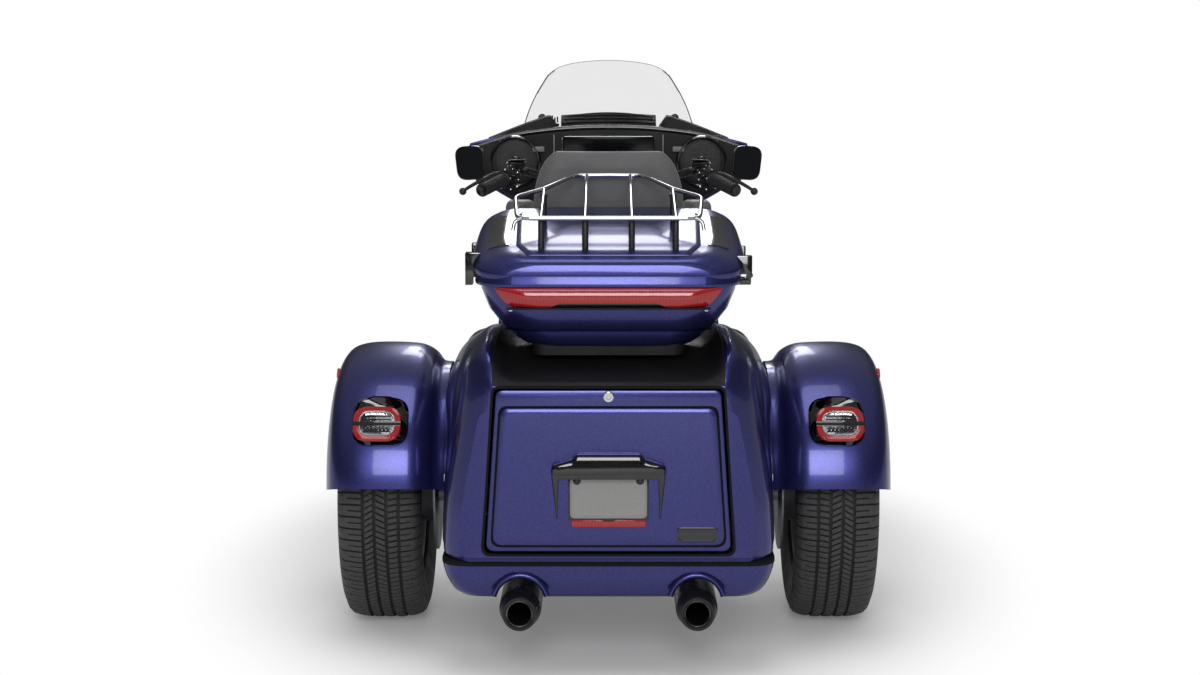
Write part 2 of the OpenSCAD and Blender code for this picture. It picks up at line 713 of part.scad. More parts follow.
// Fixed half of each lid hinge, on the right side of the case
module case_hinges() {
  color("#1b1b1d") for (y = hinge_ys) {
    translate([0, y + 0.3, 0]) {
      translate([hinge_x, 0, hinge_z]) rotate([-90, 0, 0]) cylinder(h = 34, d = knuckle_d);
      translate([case_w / 2 - 10 + seat_gap, 0, hinge_z - 26])
        cube([hinge_x - case_w / 2 + 14, 34, 16]);
      translate([hinge_x - 5, 0, hinge_z - 22]) cube([10, 34, 22]);
    }
  }
}
// Moving half of each hinge on the right, latches on the left
module lid_fittings() {
  color("#1b1b1d") difference() {
    for (y = hinge_ys) {
      translate([hinge_x, y - 34.3, hinge_z]) rotate([-90, 0, 0]) cylinder(h = 34, d = knuckle_d);
      translate([300, y - 34.3, hinge_z + 2]) cube([hinge_x - 295, 34, 42]);
      translate([-hinge_x - 5, y - 22, lid_z - 18]) cube([35, 44, 74]);
    }
    lid_block(seat_gap);
    // The latches hook under the rim without touching it
    translate([-318, -1300, 900]) cube([40, 600, lid_z - 900]);
  }
}

// Chrome rack on the lid, sloping up forward with it
function rack_z(y) = 1079 + (y + 1236) * 0.176;
function on_rack(p) = [p[0], p[1], rack_z(p[1])];
module luggage_rack() {
  rear_y = -1236;
  bar = rack_d - 2;
  color("#c8c8cc") {
    rod(on_rack([-180, rear_y]), on_rack([180, rear_y]), rack_d);
    both_sides() {
      // Side rail, running round the rear corner and curling down
      tube([on_rack([178, rear_y]), on_rack([208, -1233]), on_rack([213, -1200]),
        on_rack([223, -1036]), on_rack([156, -956]), on_rack([86, -814]),
        on_rack([0, -810])], rack_d - 0.1, 24, 2, 8);
      tube([on_rack([200, -1236]), on_rack([216, -1240]) - [0, 0, 6],
        on_rack([220, -1243]) - [0, 0, 26]], bar, 12, 2, 8);
      rod(on_rack([54, rear_y]), on_rack([54, -811]), bar);
      rod(on_rack([156, rear_y]), on_rack([156, -962]), bar);
    }
    // Feet that stand on the lid
    difference() {
      both_sides() for (p = [[156, -1206], [156, -990], [54, -1206]])
        rod([p[0], p[1], 960], on_rack(p), 14);
      lid_block(seat_gap);
      translate([-300, -1300, 900]) cube([600, 600, 70]);
    }
  }
}

// ---- Front of the chassis ----

function guard_path() = [[74, 656, 640], [180, 640, 640], [330, 630, 560], [372, 624, 440],
  [330, 618, 320], [210, 612, 262], [130, 600, 262]];
module engine_guard() {
  color("#c8c8cc") difference() {
    both_sides() tube(guard_path(), guard_d);
    both_sides() tube(cradle(), frame_d + 2 * seat_gap);
  }
}

module leg_shields() {
  color("#3a3a72") both_sides() difference() {
    skin([for (r = smooth([[330, 214, 300, 600, 646], [400, 206, 336, 590, 690],
      [520, 202, 352, 584, 712], [640, 208, 346, 590, 704], [730, 226, 318, 600, 676],
      [760, 240, 296, 610, 660]], 2))
      at_z(rounded([[r[2], r[3]], [r[2] - 10, r[4]], [r[1], r[4] - 8], [r[1], r[3]]],
        [22, 22, 16, 12], 3), r[0])]);
    tube(guard_path(), guard_d + 2 * seat_gap);
  }
}

module board_plate(grow) {
  translate([286, 400, 300 - grow]) rotate([4, 0, 0])
    slab(104 + 2 * grow, 300 + 2 * grow, 16 + 2 * grow, 40);
}
module floorboards() {
  color("#1b1b1d") both_sides() difference() {
    union() {
      board_plate(0);
      tube([[140, 330, 190], [150, 330, 292], [286, 330, 292]], 22, 20);
      // Passenger boards
      translate([278, -20, 372]) slab(88, 190, 14, 30);
      tube([[131, -236, 366], [180, -226, 366], [256, -80, 366]], 20, 30);
    }
    tube(cradle(), frame_d + 2 * seat_gap);
  }
}

module foot_controls() {
  color("#55555a") difference() {
    union() {
      // Brake pedal on the right, shift lever on the left
      tube([[250, 470, 312], [250, 472, 345], [250, 560, 372]], 15, 16);
      translate([250, 566, 370]) rotate([60, 0, 0]) slab(64, 44, 14, 8);
      tube([[-250, 430, 308], [-250, 432, 345], [-250, 560, 388]], 14, 16);
      rod([-278, 560, 388], [-222, 560, 388], 24);
    }
    both_sides() board_plate(seat_gap);
    translate([-400, 300, 280]) cube([800, 300, 30]);
  }
}

// ---- Front wheel, fork and fender ----

slider_x = fork_spread / 2;
// Brake discs just inside the fork legs
disc_x = slider_x - slider_d / 2 - 6;
axle_s = (front_r - fork_offset * sin(rake)) / cos(rake);
low_clamp_s = 790;
top_clamp_s = 1012;

module clamp_plate(s, h) {
  translate([0, 0, s]) linear_extrude(h) difference() {
    hull() {
      circle(36);
      for (i = [-1, 1]) translate([i * slider_x, fork_offset]) circle(44);
    }
    for (i = [-1, 1]) translate([i * slider_x, fork_offset]) circle(slider_d / 2 + 0.3);
  }
}

module fork() {
  color("#232326") {
    steered() {
      for (i = [-1, 1]) translate([i * slider_x, fork_offset, 0]) {
        translate([0, 0, axle_s - 40]) cylinder(h = 360, d = slider_d);
        translate([0, 0, axle_s + 320])
          cylinder(h = top_clamp_s + 30 - axle_s - 320, d = slider_d - 10);
      }
      clamp_legs_low();
      difference() {
        clamp_plate(top_clamp_s, 26);
        translate([0, 0, top_clamp_s - 5]) cylinder(h = 60, d = 20);
      }
      translate([0, 0, low_clamp_s]) cylinder(h = top_clamp_s + 2 - low_clamp_s, d = stem_d);
    }
    axle_line(front_axle_y, front_r, 22, -slider_x, slider_x);
    // Arms that hold the lamp and the fairing
    both_sides() {
      rod([110, 704, 940], [60, 742, 990], 18);
      rod([60, 736, 990], [60, 840 - lamp_depth - seat_gap, 990], 18);
    }
  }
}
module clamp_legs_low() {
  translate([0, 0, low_clamp_s]) linear_extrude(34) hull() {
    circle(36);
    for (i = [-1, 1]) translate([i * slider_x, fork_offset]) circle(44);
  }
}

module front_caliper() {
  color("#6a6a6e") both_sides() difference() {
    translate([0, front_axle_y, front_r]) rotate([28, 0, 0]) translate([disc_x, 0, 0])
      difference() {
        union() {
          translate([-16, -170, 30]) cube([32, 68, 80]);
          translate([10, -110, 50]) cube([22, 100, 40]);
        }
        translate([-5, -156, 20]) cube([10, 70, 100]);
      }
    steered() translate([slider_x, fork_offset, 0]) cylinder(h = 700, d = slider_d + 2 * seat_gap);
  }
}

guard_gap = 26;
module front_fender() {
  color("#3a3a72") skin([for (a = [20:12:188])
    let (q = front_r + guard_gap, w = slider_x - slider_d / 2 - 0.4,
      out = [[w, q - 84], [w - 1, q - 50], [76, q - 24], [62, q - 8], [36, q], [0, q + 2],
        [-36, q], [-62, q - 8], [-76, q - 24], [1 - w, q - 50], [-w, q - 84]],
      in = [[77, q - 84], [76, q - 51], [72, q - 27], [59, q - 12], [35, q - 4], [0, q - 2],
        [-35, q - 4], [-59, q - 12], [-72, q - 27], [-76, q - 51], [-77, q - 84]])
    [for (p = concat(out, [for (i = [10:-1:0]) in[i]]))
      [p[0], front_axle_y + p[1] * cos(a), front_r + p[1] * sin(a)]]], folded = true);
}

// Half section of a tyre: bead, side wall and crowned tread
function tyre_half(r, w, bead_r) = [[w * 0.34 - seat_gap, bead_r],
  [w * 0.34 - seat_gap, bead_r + 10.6], [w * 0.42, bead_r + 13],
  [w * 0.47, lerp(bead_r, r, 0.34)], [w * 0.5, lerp(bead_r, r, 0.56)],
  [w * 0.485, lerp(bead_r, r, 0.8)], [w * 0.44, r - 9], [w * 0.36, r - 2.5], [w * 0.2, r]];
module tyre(r, w, bead_r, crown) {
  h = tyre_half(r, w, bead_r);
  prof = [for (p = h) [p[1] - (p[0] > w * 0.3 && p[1] > r - 30 ? crown * pow(p[0] / w * 2, 2) : 0),
    p[0]]];
  rotate([0, 90, 0]) rotate_extrude($fn = 96) polygon(concat(prof,
    [for (i = [len(prof) - 1:-1:0]) [prof[i][0], -prof[i][1]]]));
}

module front_tyre() {
  color("#161616") translate([0, front_axle_y, front_r])
    tyre(front_r, front_tyre_w, front_rim_d / 2 - 10, 26);
}

// Wheel: rim, spokes, hub. The face with the spokes is towards +X
module wheel_body(rim_d, w, hub_d, hub_w, bore, spoke_x, spokes) {
  rotate([0, 90, 0]) {
    rotate_extrude($fn = 96) polygon([[rim_d / 2 - 10.3, -w / 2], [rim_d / 2, -w / 2],
      [rim_d / 2, -w / 2 - 8], [rim_d / 2 - 22, -w / 2 - 8], [rim_d / 2 - 36, -w / 4],
      [rim_d / 2 - 36, w / 4], [rim_d / 2 - 22, w / 2 + 8], [rim_d / 2, w / 2 + 8],
      [rim_d / 2, w / 2], [rim_d / 2 - 10.3, w / 2]]);
    difference() {
      union() {
        translate([0, 0, -hub_w / 2]) cylinder(h = hub_w, d = hub_d);
        for (i = [0:spokes - 1]) rotate([0, 0, i * 360 / spokes])
          translate([0, -13, spoke_x - 9]) cube([rim_d / 2 - 26, 26, 18]);
      }
      if (bore > 0) translate([0, 0, -hub_w]) cylinder(h = 2 * hub_w, d = bore);
    }
  }
}

module front_rim() {
  color("#8c8c90") {
    translate([0, front_axle_y, front_r])
      wheel_body(front_rim_d, front_tyre_w * 0.68, 84, 2 * disc_x - 16, 24, 0, 9);
    for (i = [-1, 1]) difference() {
      axle_line(front_axle_y, front_r, 296, i * disc_x - 2.5, i * disc_x + 2.5);
      axle_line(front_axle_y, front_r, 24, -100, 100);
    }
    for (i = [-1, 1]) difference() {
      axle_line(front_axle_y, front_r, 84, i * (disc_x - 5) - 3, i * (disc_x - 5) + 3);
      axle_line(front_axle_y, front_r, 24, -100, 100);
    }
  }
}

module rear_tyre_right() {
  color("#161616") translate([tyre_x, rear_axle_y, rear_r])
    tyre(rear_r, rear_tyre_w, rear_rim_d / 2 - 10, 6);
}
module rear_tyre_left() {
  mirror([1, 0, 0]) rear_tyre_right();
}
module rear_rim_right() {
  color("#8c8c90") {
    translate([tyre_x, rear_axle_y, rear_r])
      wheel_body(rear_rim_d, rear_tyre_w * 0.68, 120, 120, 0, 46, 5);
    axle_line(rear_axle_y, rear_r, 52, axle_end_x + seat_gap, tyre_x);
    difference() {
      axle_line(rear_axle_y, rear_r, 300, 440, 446);
      axle_line(rear_axle_y, rear_r, 40, 430, 450);
    }
    axle_line(rear_axle_y, rear_r, 150, 446, 512);
  }
}
module rear_rim_left() {
  mirror([1, 0, 0]) rear_rim_right();
}

// ---- Handlebar and fairing, turning with the fork ----

function bar_path() = [[50, 600, 1010], [92, 570, 1030], [190, 400, 1080], [248, 220, 1108],
  grip_a, grip_b];
grip_start = 0.30;
// Ends of the straight stretch that carries the right grip
grip_a = [276, 90, 1104];
grip_b = [360, -90, 1068];
function on_grip(t) = lerp(grip_a, grip_b, t);

module handlebar() {
  p = bar_path();
  color("#1d1d1f") {
    both_sides() {
      tube([[10, 600, 1010], p[0], p[1], p[2], lerp(p[2], p[3], 0.12)], bar_d - 0.1);
      rod(lerp(p[2], p[3], 0.1), lerp(p[2], p[3], 0.9), bar_d);
      tube([lerp(p[2], p[3], 0.88), p[3], p[4], lerp(p[4], p[5], 0.04)], bar_d - 0.1);
      rod(lerp(p[4], p[5], 0.02), p[5], bar_d);
    }
    rod([-14, 600, 1010], [14, 600, 1010], bar_d);
    // Risers on the top clamp
    both_sides() difference() {
      steered() translate([34, -6, top_clamp_s + 26 + seat_gap]) cylinder(h = 84, d = 34);
      tube([[10, 600, 1010], p[0], p[1]], bar_d + 2 * seat_gap);
      rod([-14, 600, 1010], [14, 600, 1010], bar_d + 2 * seat_gap);
    }
  }
}

module hand_grips() {
  color("#141415") both_sides() difference() {
    rod(on_grip(grip_start), on_grip(0.97), grip_d);
    rod(on_grip(-0.1), on_grip(1.2), bar_d + 2 * seat_gap);
  }
}

function lever_path() = [[280, 120, 1104], [330, 128, 1104], [412, -10, 1064]];
module hand_levers() {
  color("#2a2a2c") both_sides() difference() {
    union() {
      // Switch housing, master cylinder and lever
      rod(on_grip(0.02), on_grip(grip_start - 0.02), 54);
      tube(lever_path(), 15, 30);
      translate([415, -16, 1062]) sphere(d = 22);
    }
    rod(bar_path()[3], grip_a, bar_d + 2 * seat_gap);
    rod(on_grip(-0.4), on_grip(1.2), bar_d + 2 * seat_gap);
  }
}

lamp_d = 180;
lamp_depth = 82;
fairing_half = 430;
fairing_wall = 7;
// Outline of the fairing at a share u of its half width
function fairing_front(u) = 812 - 250 * pow(u, 2.2);
function fairing_rear(u) = 520 - 46 * pow(u, 2);
function fairing_top(u) = 1232 - 56 * pow(u, 2.2);
function fairing_low(u) = 902 + 186 * pow(u, 1.7);
function fairing_ring(x, t, back) = let (u = min(abs(x) / fairing_half, 1),
    f = fairing_front(u) - t, r = fairing_rear(u) - back, hi = fairing_top(u) - t,
    lo = fairing_low(u) + t, d = f - fairing_rear(u))
  rounded([[r, lo], [f - 0.34 * d, lo + 2], [f, lerp(lo, hi, 0.3)], [f - 0.08 * d, lerp(lo, hi, 0.66)],
    [f - 0.34 * d, hi - 3], [r, hi]], [6, 60, 70, 90, 70, 6], 2);
// Both tips are drawn in to a rounded end
function tip(r, k) = let (c = mean(r)) [for (p = r) c + (p - c) * k];
fairing_xs = [-424, -412, -396, -370, -335, -295, -250, -205, -160, -120, -80, -40, 0,
  40, 80, 120, 160, 205, 250, 295, 335, 370, 396, 412, 424];

module outer_fairing() {
  color("#3a3a72") difference() {
    skin(concat([tip(at_x(fairing_ring(-424, 0, 0), -430), 0.7)],
      [for (x = fairing_xs) at_x(fairing_ring(x, 0, 0), x)],
      [tip(at_x(fairing_ring(424, 0, 0), 430), 0.7)]));
    skin([for (x = fairing_xs) if (abs(x) < 420) at_x(fairing_ring(x, fairing_wall, 30), x)]);
    // Lamp opening, and room below for the fork
    translate([0, 900, 1000]) rotate([90, 0, 0]) cylinder(h = 200, d = lamp_d + 2 * seat_gap);
    fork_room();
  }
}
module fork_room() {
  steered() translate([0, fork_offset, 880]) linear_extrude(210) hull()
    for (i = [-1, 1], j = [-90, 20]) translate([i * slider_x, j]) circle(52);
}

module inner_fairing() {
  color("#1f1f22") difference() {
    skin([for (x = fairing_xs) if (abs(x) < 405)
      let (u = abs(x) / fairing_half, t = fairing_wall + 1)
      at_x(rounded([[fairing_rear(u) - 26, fairing_low(u) + t + 6],
        [fairing_rear(u) + 8, fairing_low(u) + t], [fairing_rear(u) + 8, fairing_top(u) - t],
        [fairing_rear(u) - 18, fairing_top(u) - t - 6]], [8, 2, 2, 10], 2), x)]);
    both_sides() tube(bar_path(), bar_d + 16);
    fork_room();
  }
}

// Line along the fairing's crown where the windshield stands
function crown_y(x) = let (u = abs(x) / fairing_half) lerp(fairing_front(u), fairing_rear(u), 0.6);

// Louvred air intake on the crown behind the windshield
module fairing_vent() {
  color("#1b1b1d") skin([for (i = [-7:7]) let (x = i * 21, u = abs(x) / fairing_half,
      z = fairing_top(u) - 0.7)
    at_x([[fairing_rear(u) + 30, z + 0.5], [crown_y(x) - 8, z], [crown_y(x) - 24, z + 34],
      [fairing_rear(u) + 66, z + 38 - 10 * pow(abs(i) / 7, 2)], [fairing_rear(u) + 32, z + 10]], x)]);
}

// Windshield: bent sheet between the fairing's top edge and a higher, narrower edge
shield_low_w = 268;
shield_top_w = 186;
shield_t = 4.5;
function shield_pt(u, v) = let (side = lerp(shield_low_w, shield_top_w, pow(v, 1.25)))
  [u * side * (1 - 0.05 * pow(abs(u), 6) * v),
   lerp(crown_y(u * shield_low_w), 565 - 34 * u * u, v),
   lerp(fairing_top(abs(u) * shield_low_w / fairing_half) - 1.2,
     1430 - 26 * u * u - 20 * pow(abs(u), 8), v)];
module windshield() {
  color("#d8dcdf", 0.45) skin([for (i = [-9:9]) let (u = i / 9,
      row = [for (j = [0:6]) shield_pt(u, j / 6)])
    concat(row, [for (j = [6:-1:0]) row[j] + [0, shield_t, 0]])], folded = true);
}

module headlamps() {
  color("#d0d0d4") {
    translate([0, 840, 1000]) rotate([90, 0, 0]) cylinder(h = lamp_depth, d = lamp_d);
    // Auxiliary lamps on their bar under the fairing
    both_sides() translate([198, 800, 906]) rotate([90, 0, 0]) {
      cylinder(h = 60, d = 108);
      translate([0, 0, 60]) cylinder(h = 14, d1 = 108, d2 = 60);
    }
    difference() {
      rod([-170, 752, 878], [170, 752, 878], 18);
      both_sides() translate([198, 800, 906]) rotate([90, 0, 0])
        cylinder(h = 90, d = 108 + 2 * seat_gap);
      steered() for (i = [-1, 1]) translate([i * slider_x, fork_offset, 700])
        cylinder(h = 400, d = slider_d - 10 + 2 * seat_gap);
    }
  }
}

mirror_x = 396;
module mirrors() {
  color("#141416") both_sides() difference() {
    union() {
      translate([mirror_x, 104, 1138]) rotate([90, 0, 0]) rotate([0, 0, 8])
        slab(92, 104, 26, 30);
      tube([[372, 92, 1092], [362, 98, 1068], [322, 126, 1072], [316, 125, 1102]], 11, 14);
    }
    tube(lever_path(), 15 + 2 * seat_gap, 30);
  }
}

// Everything that is drawn
frame();
swingarm();
axle_housing();
engine_case();
cylinders();
air_cleaner();
drive_belt();
header_pipes();
mufflers();
fuel_tank();
console();
seat();
backrest();
armrests();
side_covers();
trunk_body();
rear_valance();
rear_fender_left();
rear_fender_right();
tail_lamps();
rear_calipers();
shock_absorbers();
case_bracket();
top_case_base();
case_hinges();
light_bar();
engine_guard();
leg_shields();
floorboards();
foot_controls();
fork();
front_fender();
front_caliper();
handlebar();
hand_grips();
hand_levers();
outer_fairing();
inner_fairing();
fairing_vent();
windshield();
headlamps();
mirrors();
front_tyre();
front_rim();
rear_tyre_left();
rear_rim_left();
rear_tyre_right();
rear_rim_right();
trunk_door();
plate_holder();
case_lid();
lid_fittings();
luggage_rack();
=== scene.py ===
"""Looks of a motorized touring trike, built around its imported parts.

Metres. X is to the vehicle's right, Y forward, Z up, with the floor at zero.
"""
import json
import math

import bpy
from mathutils import Matrix, Vector


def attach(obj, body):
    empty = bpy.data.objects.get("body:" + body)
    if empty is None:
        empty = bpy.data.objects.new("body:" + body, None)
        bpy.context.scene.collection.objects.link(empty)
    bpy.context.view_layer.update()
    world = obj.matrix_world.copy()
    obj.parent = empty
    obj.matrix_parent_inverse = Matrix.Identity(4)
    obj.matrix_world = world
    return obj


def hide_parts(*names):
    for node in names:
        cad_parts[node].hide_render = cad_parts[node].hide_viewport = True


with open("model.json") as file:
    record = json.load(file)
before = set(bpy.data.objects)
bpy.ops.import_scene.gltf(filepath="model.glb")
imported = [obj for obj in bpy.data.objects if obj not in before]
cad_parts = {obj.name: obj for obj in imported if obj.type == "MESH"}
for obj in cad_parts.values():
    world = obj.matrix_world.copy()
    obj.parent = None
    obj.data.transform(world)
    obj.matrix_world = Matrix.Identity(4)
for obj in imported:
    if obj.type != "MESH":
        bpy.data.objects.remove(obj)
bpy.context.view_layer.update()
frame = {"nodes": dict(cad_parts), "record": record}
CAD = frame["nodes"]
BODY_OF = {node: body for body, nodes in frame["record"]["behaviour"]["bodies"].items()
           for node in nodes}
SLOT_OF = {part["node"]: part["material_slot"] for part in frame["record"]["subparts"]}


# ---- Camera and studio ----

LENS = 66.338
EYE_SHIFT = -0.0070833333  # share of the frame's width
EYE_AT = (0, -6.3158, 1.4691)
EYE_DOWN = 7.477  # degrees below level
eye = bpy.data.cameras.new("eye")
eye.lens = LENS
eye.sensor_width = 36
eye.shift_x = EYE_SHIFT
eye.clip_end = 200
eye_stand = bpy.data.objects.new("eye", eye)
bpy.context.scene.collection.objects.link(eye_stand)
eye_stand.location = EYE_AT
eye_stand.rotation_euler = (math.radians(90 - EYE_DOWN), 0, 0)
bpy.context.scene.camera = eye_stand
bpy.context.scene.view_settings.view_transform = "Standard"

# Name, place, width and depth in metres, and watts; all aim at AIM
LAMPS = (("overhead", (0, -1.4, 4.8), (2.2, 3.0), 55), ("behind", (0, -8.2, 3.2), (3.0, 3.2), 250),
         ("ahead", (0, 6.0, 4.3), (1.9, 2.4), 85))
AIM = Vector((0, 0, 0.6))
FILL = 0.42  # strength of the room on dull faces
DOME_FROM, DOME_TO = 0.1, 0.95  # heights between which the mirrored room grows paler
DOME_DARK, DOME_PALE = 0.05, 0.34
FADE_FROM, FADE_TO = 0.8, 1.3  # where the floor turns plain white, along an oval
FADE_LEAST = 0.12
OVAL = (1.05, 0.69, 1.0)


def tone(code):
    """An sRGB hex colour as a linear one."""
    part = [int(code[i:i + 2], 16) / 255 for i in (1, 3, 5)]
    return tuple(c / 12.92 if c <= 0.04045 else ((c + 0.055) / 1.055) ** 2.4
                 for c in part) + (1.0,)


def put(tree, kind, settings=None, **sockets):
    """One node with its settings, and each socket's value or the socket it is fed from."""
    node = tree.nodes.new("ShaderNode" + kind)
    for name, value in (settings or {}).items():
        setattr(node, name, value)
    for name, value in sockets.items():
        socket = node.inputs[int(name[1:])] if name[1:].isdigit() else node.inputs[
            name.replace("_", " ")]
        if isinstance(value, bpy.types.NodeSocket):
            tree.links.new(value, socket)
        else:
            socket.default_value = value
    return node


def studio():
    world = bpy.data.worlds.new("studio")
    bpy.context.scene.world = world
    world.use_nodes = True
    tree = world.node_tree
    tree.nodes.clear()
    path = put(tree, "LightPath")
    seen = put(tree, "Math", {"operation": "MAXIMUM"}, _0=path.outputs["Is Camera Ray"],
               _1=path.outputs["Is Transmission Ray"])
    # The room: white where it is seen straight, and in reflections dark low down and
    # paler overhead, as a studio with black walls is
    way = put(tree, "TexCoord")
    high = put(tree, "SeparateXYZ", None, Vector=way.outputs["Generated"])
    dome = put(tree, "MapRange", {"interpolation_type": "SMOOTHSTEP"}, _0=high.outputs["Z"],
               _1=DOME_FROM, _2=DOME_TO, _3=DOME_DARK, _4=DOME_PALE)
    mirror = put(tree, "Mix", {"data_type": "FLOAT"}, _0=path.outputs["Is Glossy Ray"], _2=FILL,
                 _3=dome.outputs[0])
    strength = put(tree, "Mix", {"data_type": "FLOAT"}, _0=seen.outputs[0], _2=mirror.outputs[0],
                   _3=1.0)
    shade = put(tree, "Background", Color=tone("#ffffff"), Strength=strength.outputs[0])
    out = put(tree, "OutputWorld")
    tree.links.new(shade.outputs[0], out.inputs["Surface"])
    for name, at, size, watts in LAMPS:
        lamp = bpy.data.lights.new(name, "AREA")
        lamp.shape = "RECTANGLE"
        lamp.size, lamp.size_y = size
        lamp.energy = watts
        stand = bpy.data.objects.new(name, lamp)
        bpy.context.scene.collection.objects.link(stand)
        stand.location = at
        stand.rotation_euler = (AIM - Vector(at)).to_track_quat("-Z", "Y").to_euler()
    bpy.ops.mesh.primitive_plane_add(size=60, location=(0, 0, 0))
    floor = bpy.context.active_object
    floor.name = "studio_floor"
    shade, tree, skin = finish("studio floor paint")
    shade.inputs["Base Color"].default_value = tone("#f4f4f4")
    shade.inputs["Roughness"].default_value = 0.85
    shade.inputs["Specular IOR Level"].default_value = 0.1
    path = put(tree, "LightPath")
    spot = put(tree, "TexCoord")
    oval = put(tree, "VectorMath", {"operation": "MULTIPLY"}, _0=spot.outputs["Object"],
               _1=OVAL)
    away = put(tree, "VectorMath", {"operation": "LENGTH"}, _0=oval.outputs[0])
    fade = put(tree, "MapRange", {"interpolation_type": "SMOOTHSTEP"},
               _0=away.outputs["Value"], _1=FADE_FROM, _2=FADE_TO, _3=FADE_LEAST, _4=1.0)
    fade = put(tree, "Math", {"operation": "MULTIPLY"}, _0=fade.outputs[0],
               _1=path.outputs["Is Camera Ray"])
    glow = put(tree, "Emission", Color=tone("#ffffff"), Strength=1.0)
    both = put(tree, "MixShader", _0=fade.outputs[0], _1=shade.outputs[0], _2=glow.outputs[0])
    tree.links.new(both.outputs[0], tree.nodes["out"].inputs["Surface"])
    floor.data.materials.append(skin)


# ---- Finishes ----

def finish(name, **sockets):
    """A new material: its shader, its node tree and itself."""
    skin = bpy.data.materials.new(name)
    skin.use_nodes = True
    tree = skin.node_tree
    tree.nodes.clear()
    shade = put(tree, "BsdfPrincipled", **sockets)
    out = put(tree, "OutputMaterial")
    out.name = "out"
    tree.links.new(shade.outputs[0], out.inputs["Surface"])
    return shade, tree, skin


def grain(tree, shade, scale, strength, distance, kind="TexNoise", **more):
    """Fine relief on Object coordinates, feeding the shader's normal."""
    place = put(tree, "TexCoord")
    tex = put(tree, kind, None, Vector=place.outputs["Object"], Scale=scale, **more)
    relief = put(tree, "Bump", Strength=strength, Distance=distance,
                 Height=tex.outputs[0])
    tree.links.new(relief.outputs[0], shade.inputs["Normal"])
    return tex, place


def mottled(tree, shade, source, dark, light, low=0.35, high=0.65):
    """Colour that drifts between two tones with a texture."""
    ramp = put(tree, "ValToRGB", None, Fac=source)
    ramp.color_ramp.elements[0].position = low
    ramp.color_ramp.elements[0].color = tone(dark)
    ramp.color_ramp.elements[1].position = high
    ramp.color_ramp.elements[1].color = tone(light)
    tree.links.new(ramp.outputs[0], shade.inputs["Base Color"])


def worn(tree, shade, low, high, scale):
    """Roughness that drifts, as on a handled or washed surface."""
    place = put(tree, "TexCoord")
    tex = put(tree, "TexNoise", None, Vector=place.outputs["Object"], Scale=scale, Detail=4.0)
    spread = put(tree, "MapRange", None, _0=tex.outputs[0], _1=0.3, _2=0.7, _3=low, _4=high)
    tree.links.new(spread.outputs[0], shade.inputs["Roughness"])


SKIN = {}


def coat(slot, name, relief=None, tones=None, wear=None, **sockets):
    """A finish kept under its slot: relief, drifting colour and drifting roughness."""
    shade, tree, SKIN[slot] = finish(name, **sockets)
    if relief:
        tex, _ = grain(tree, shade, *relief)
        if tones:
            mottled(tree, shade, tex.outputs[0], *tones)
    if wear:
        worn(tree, shade, *wear)


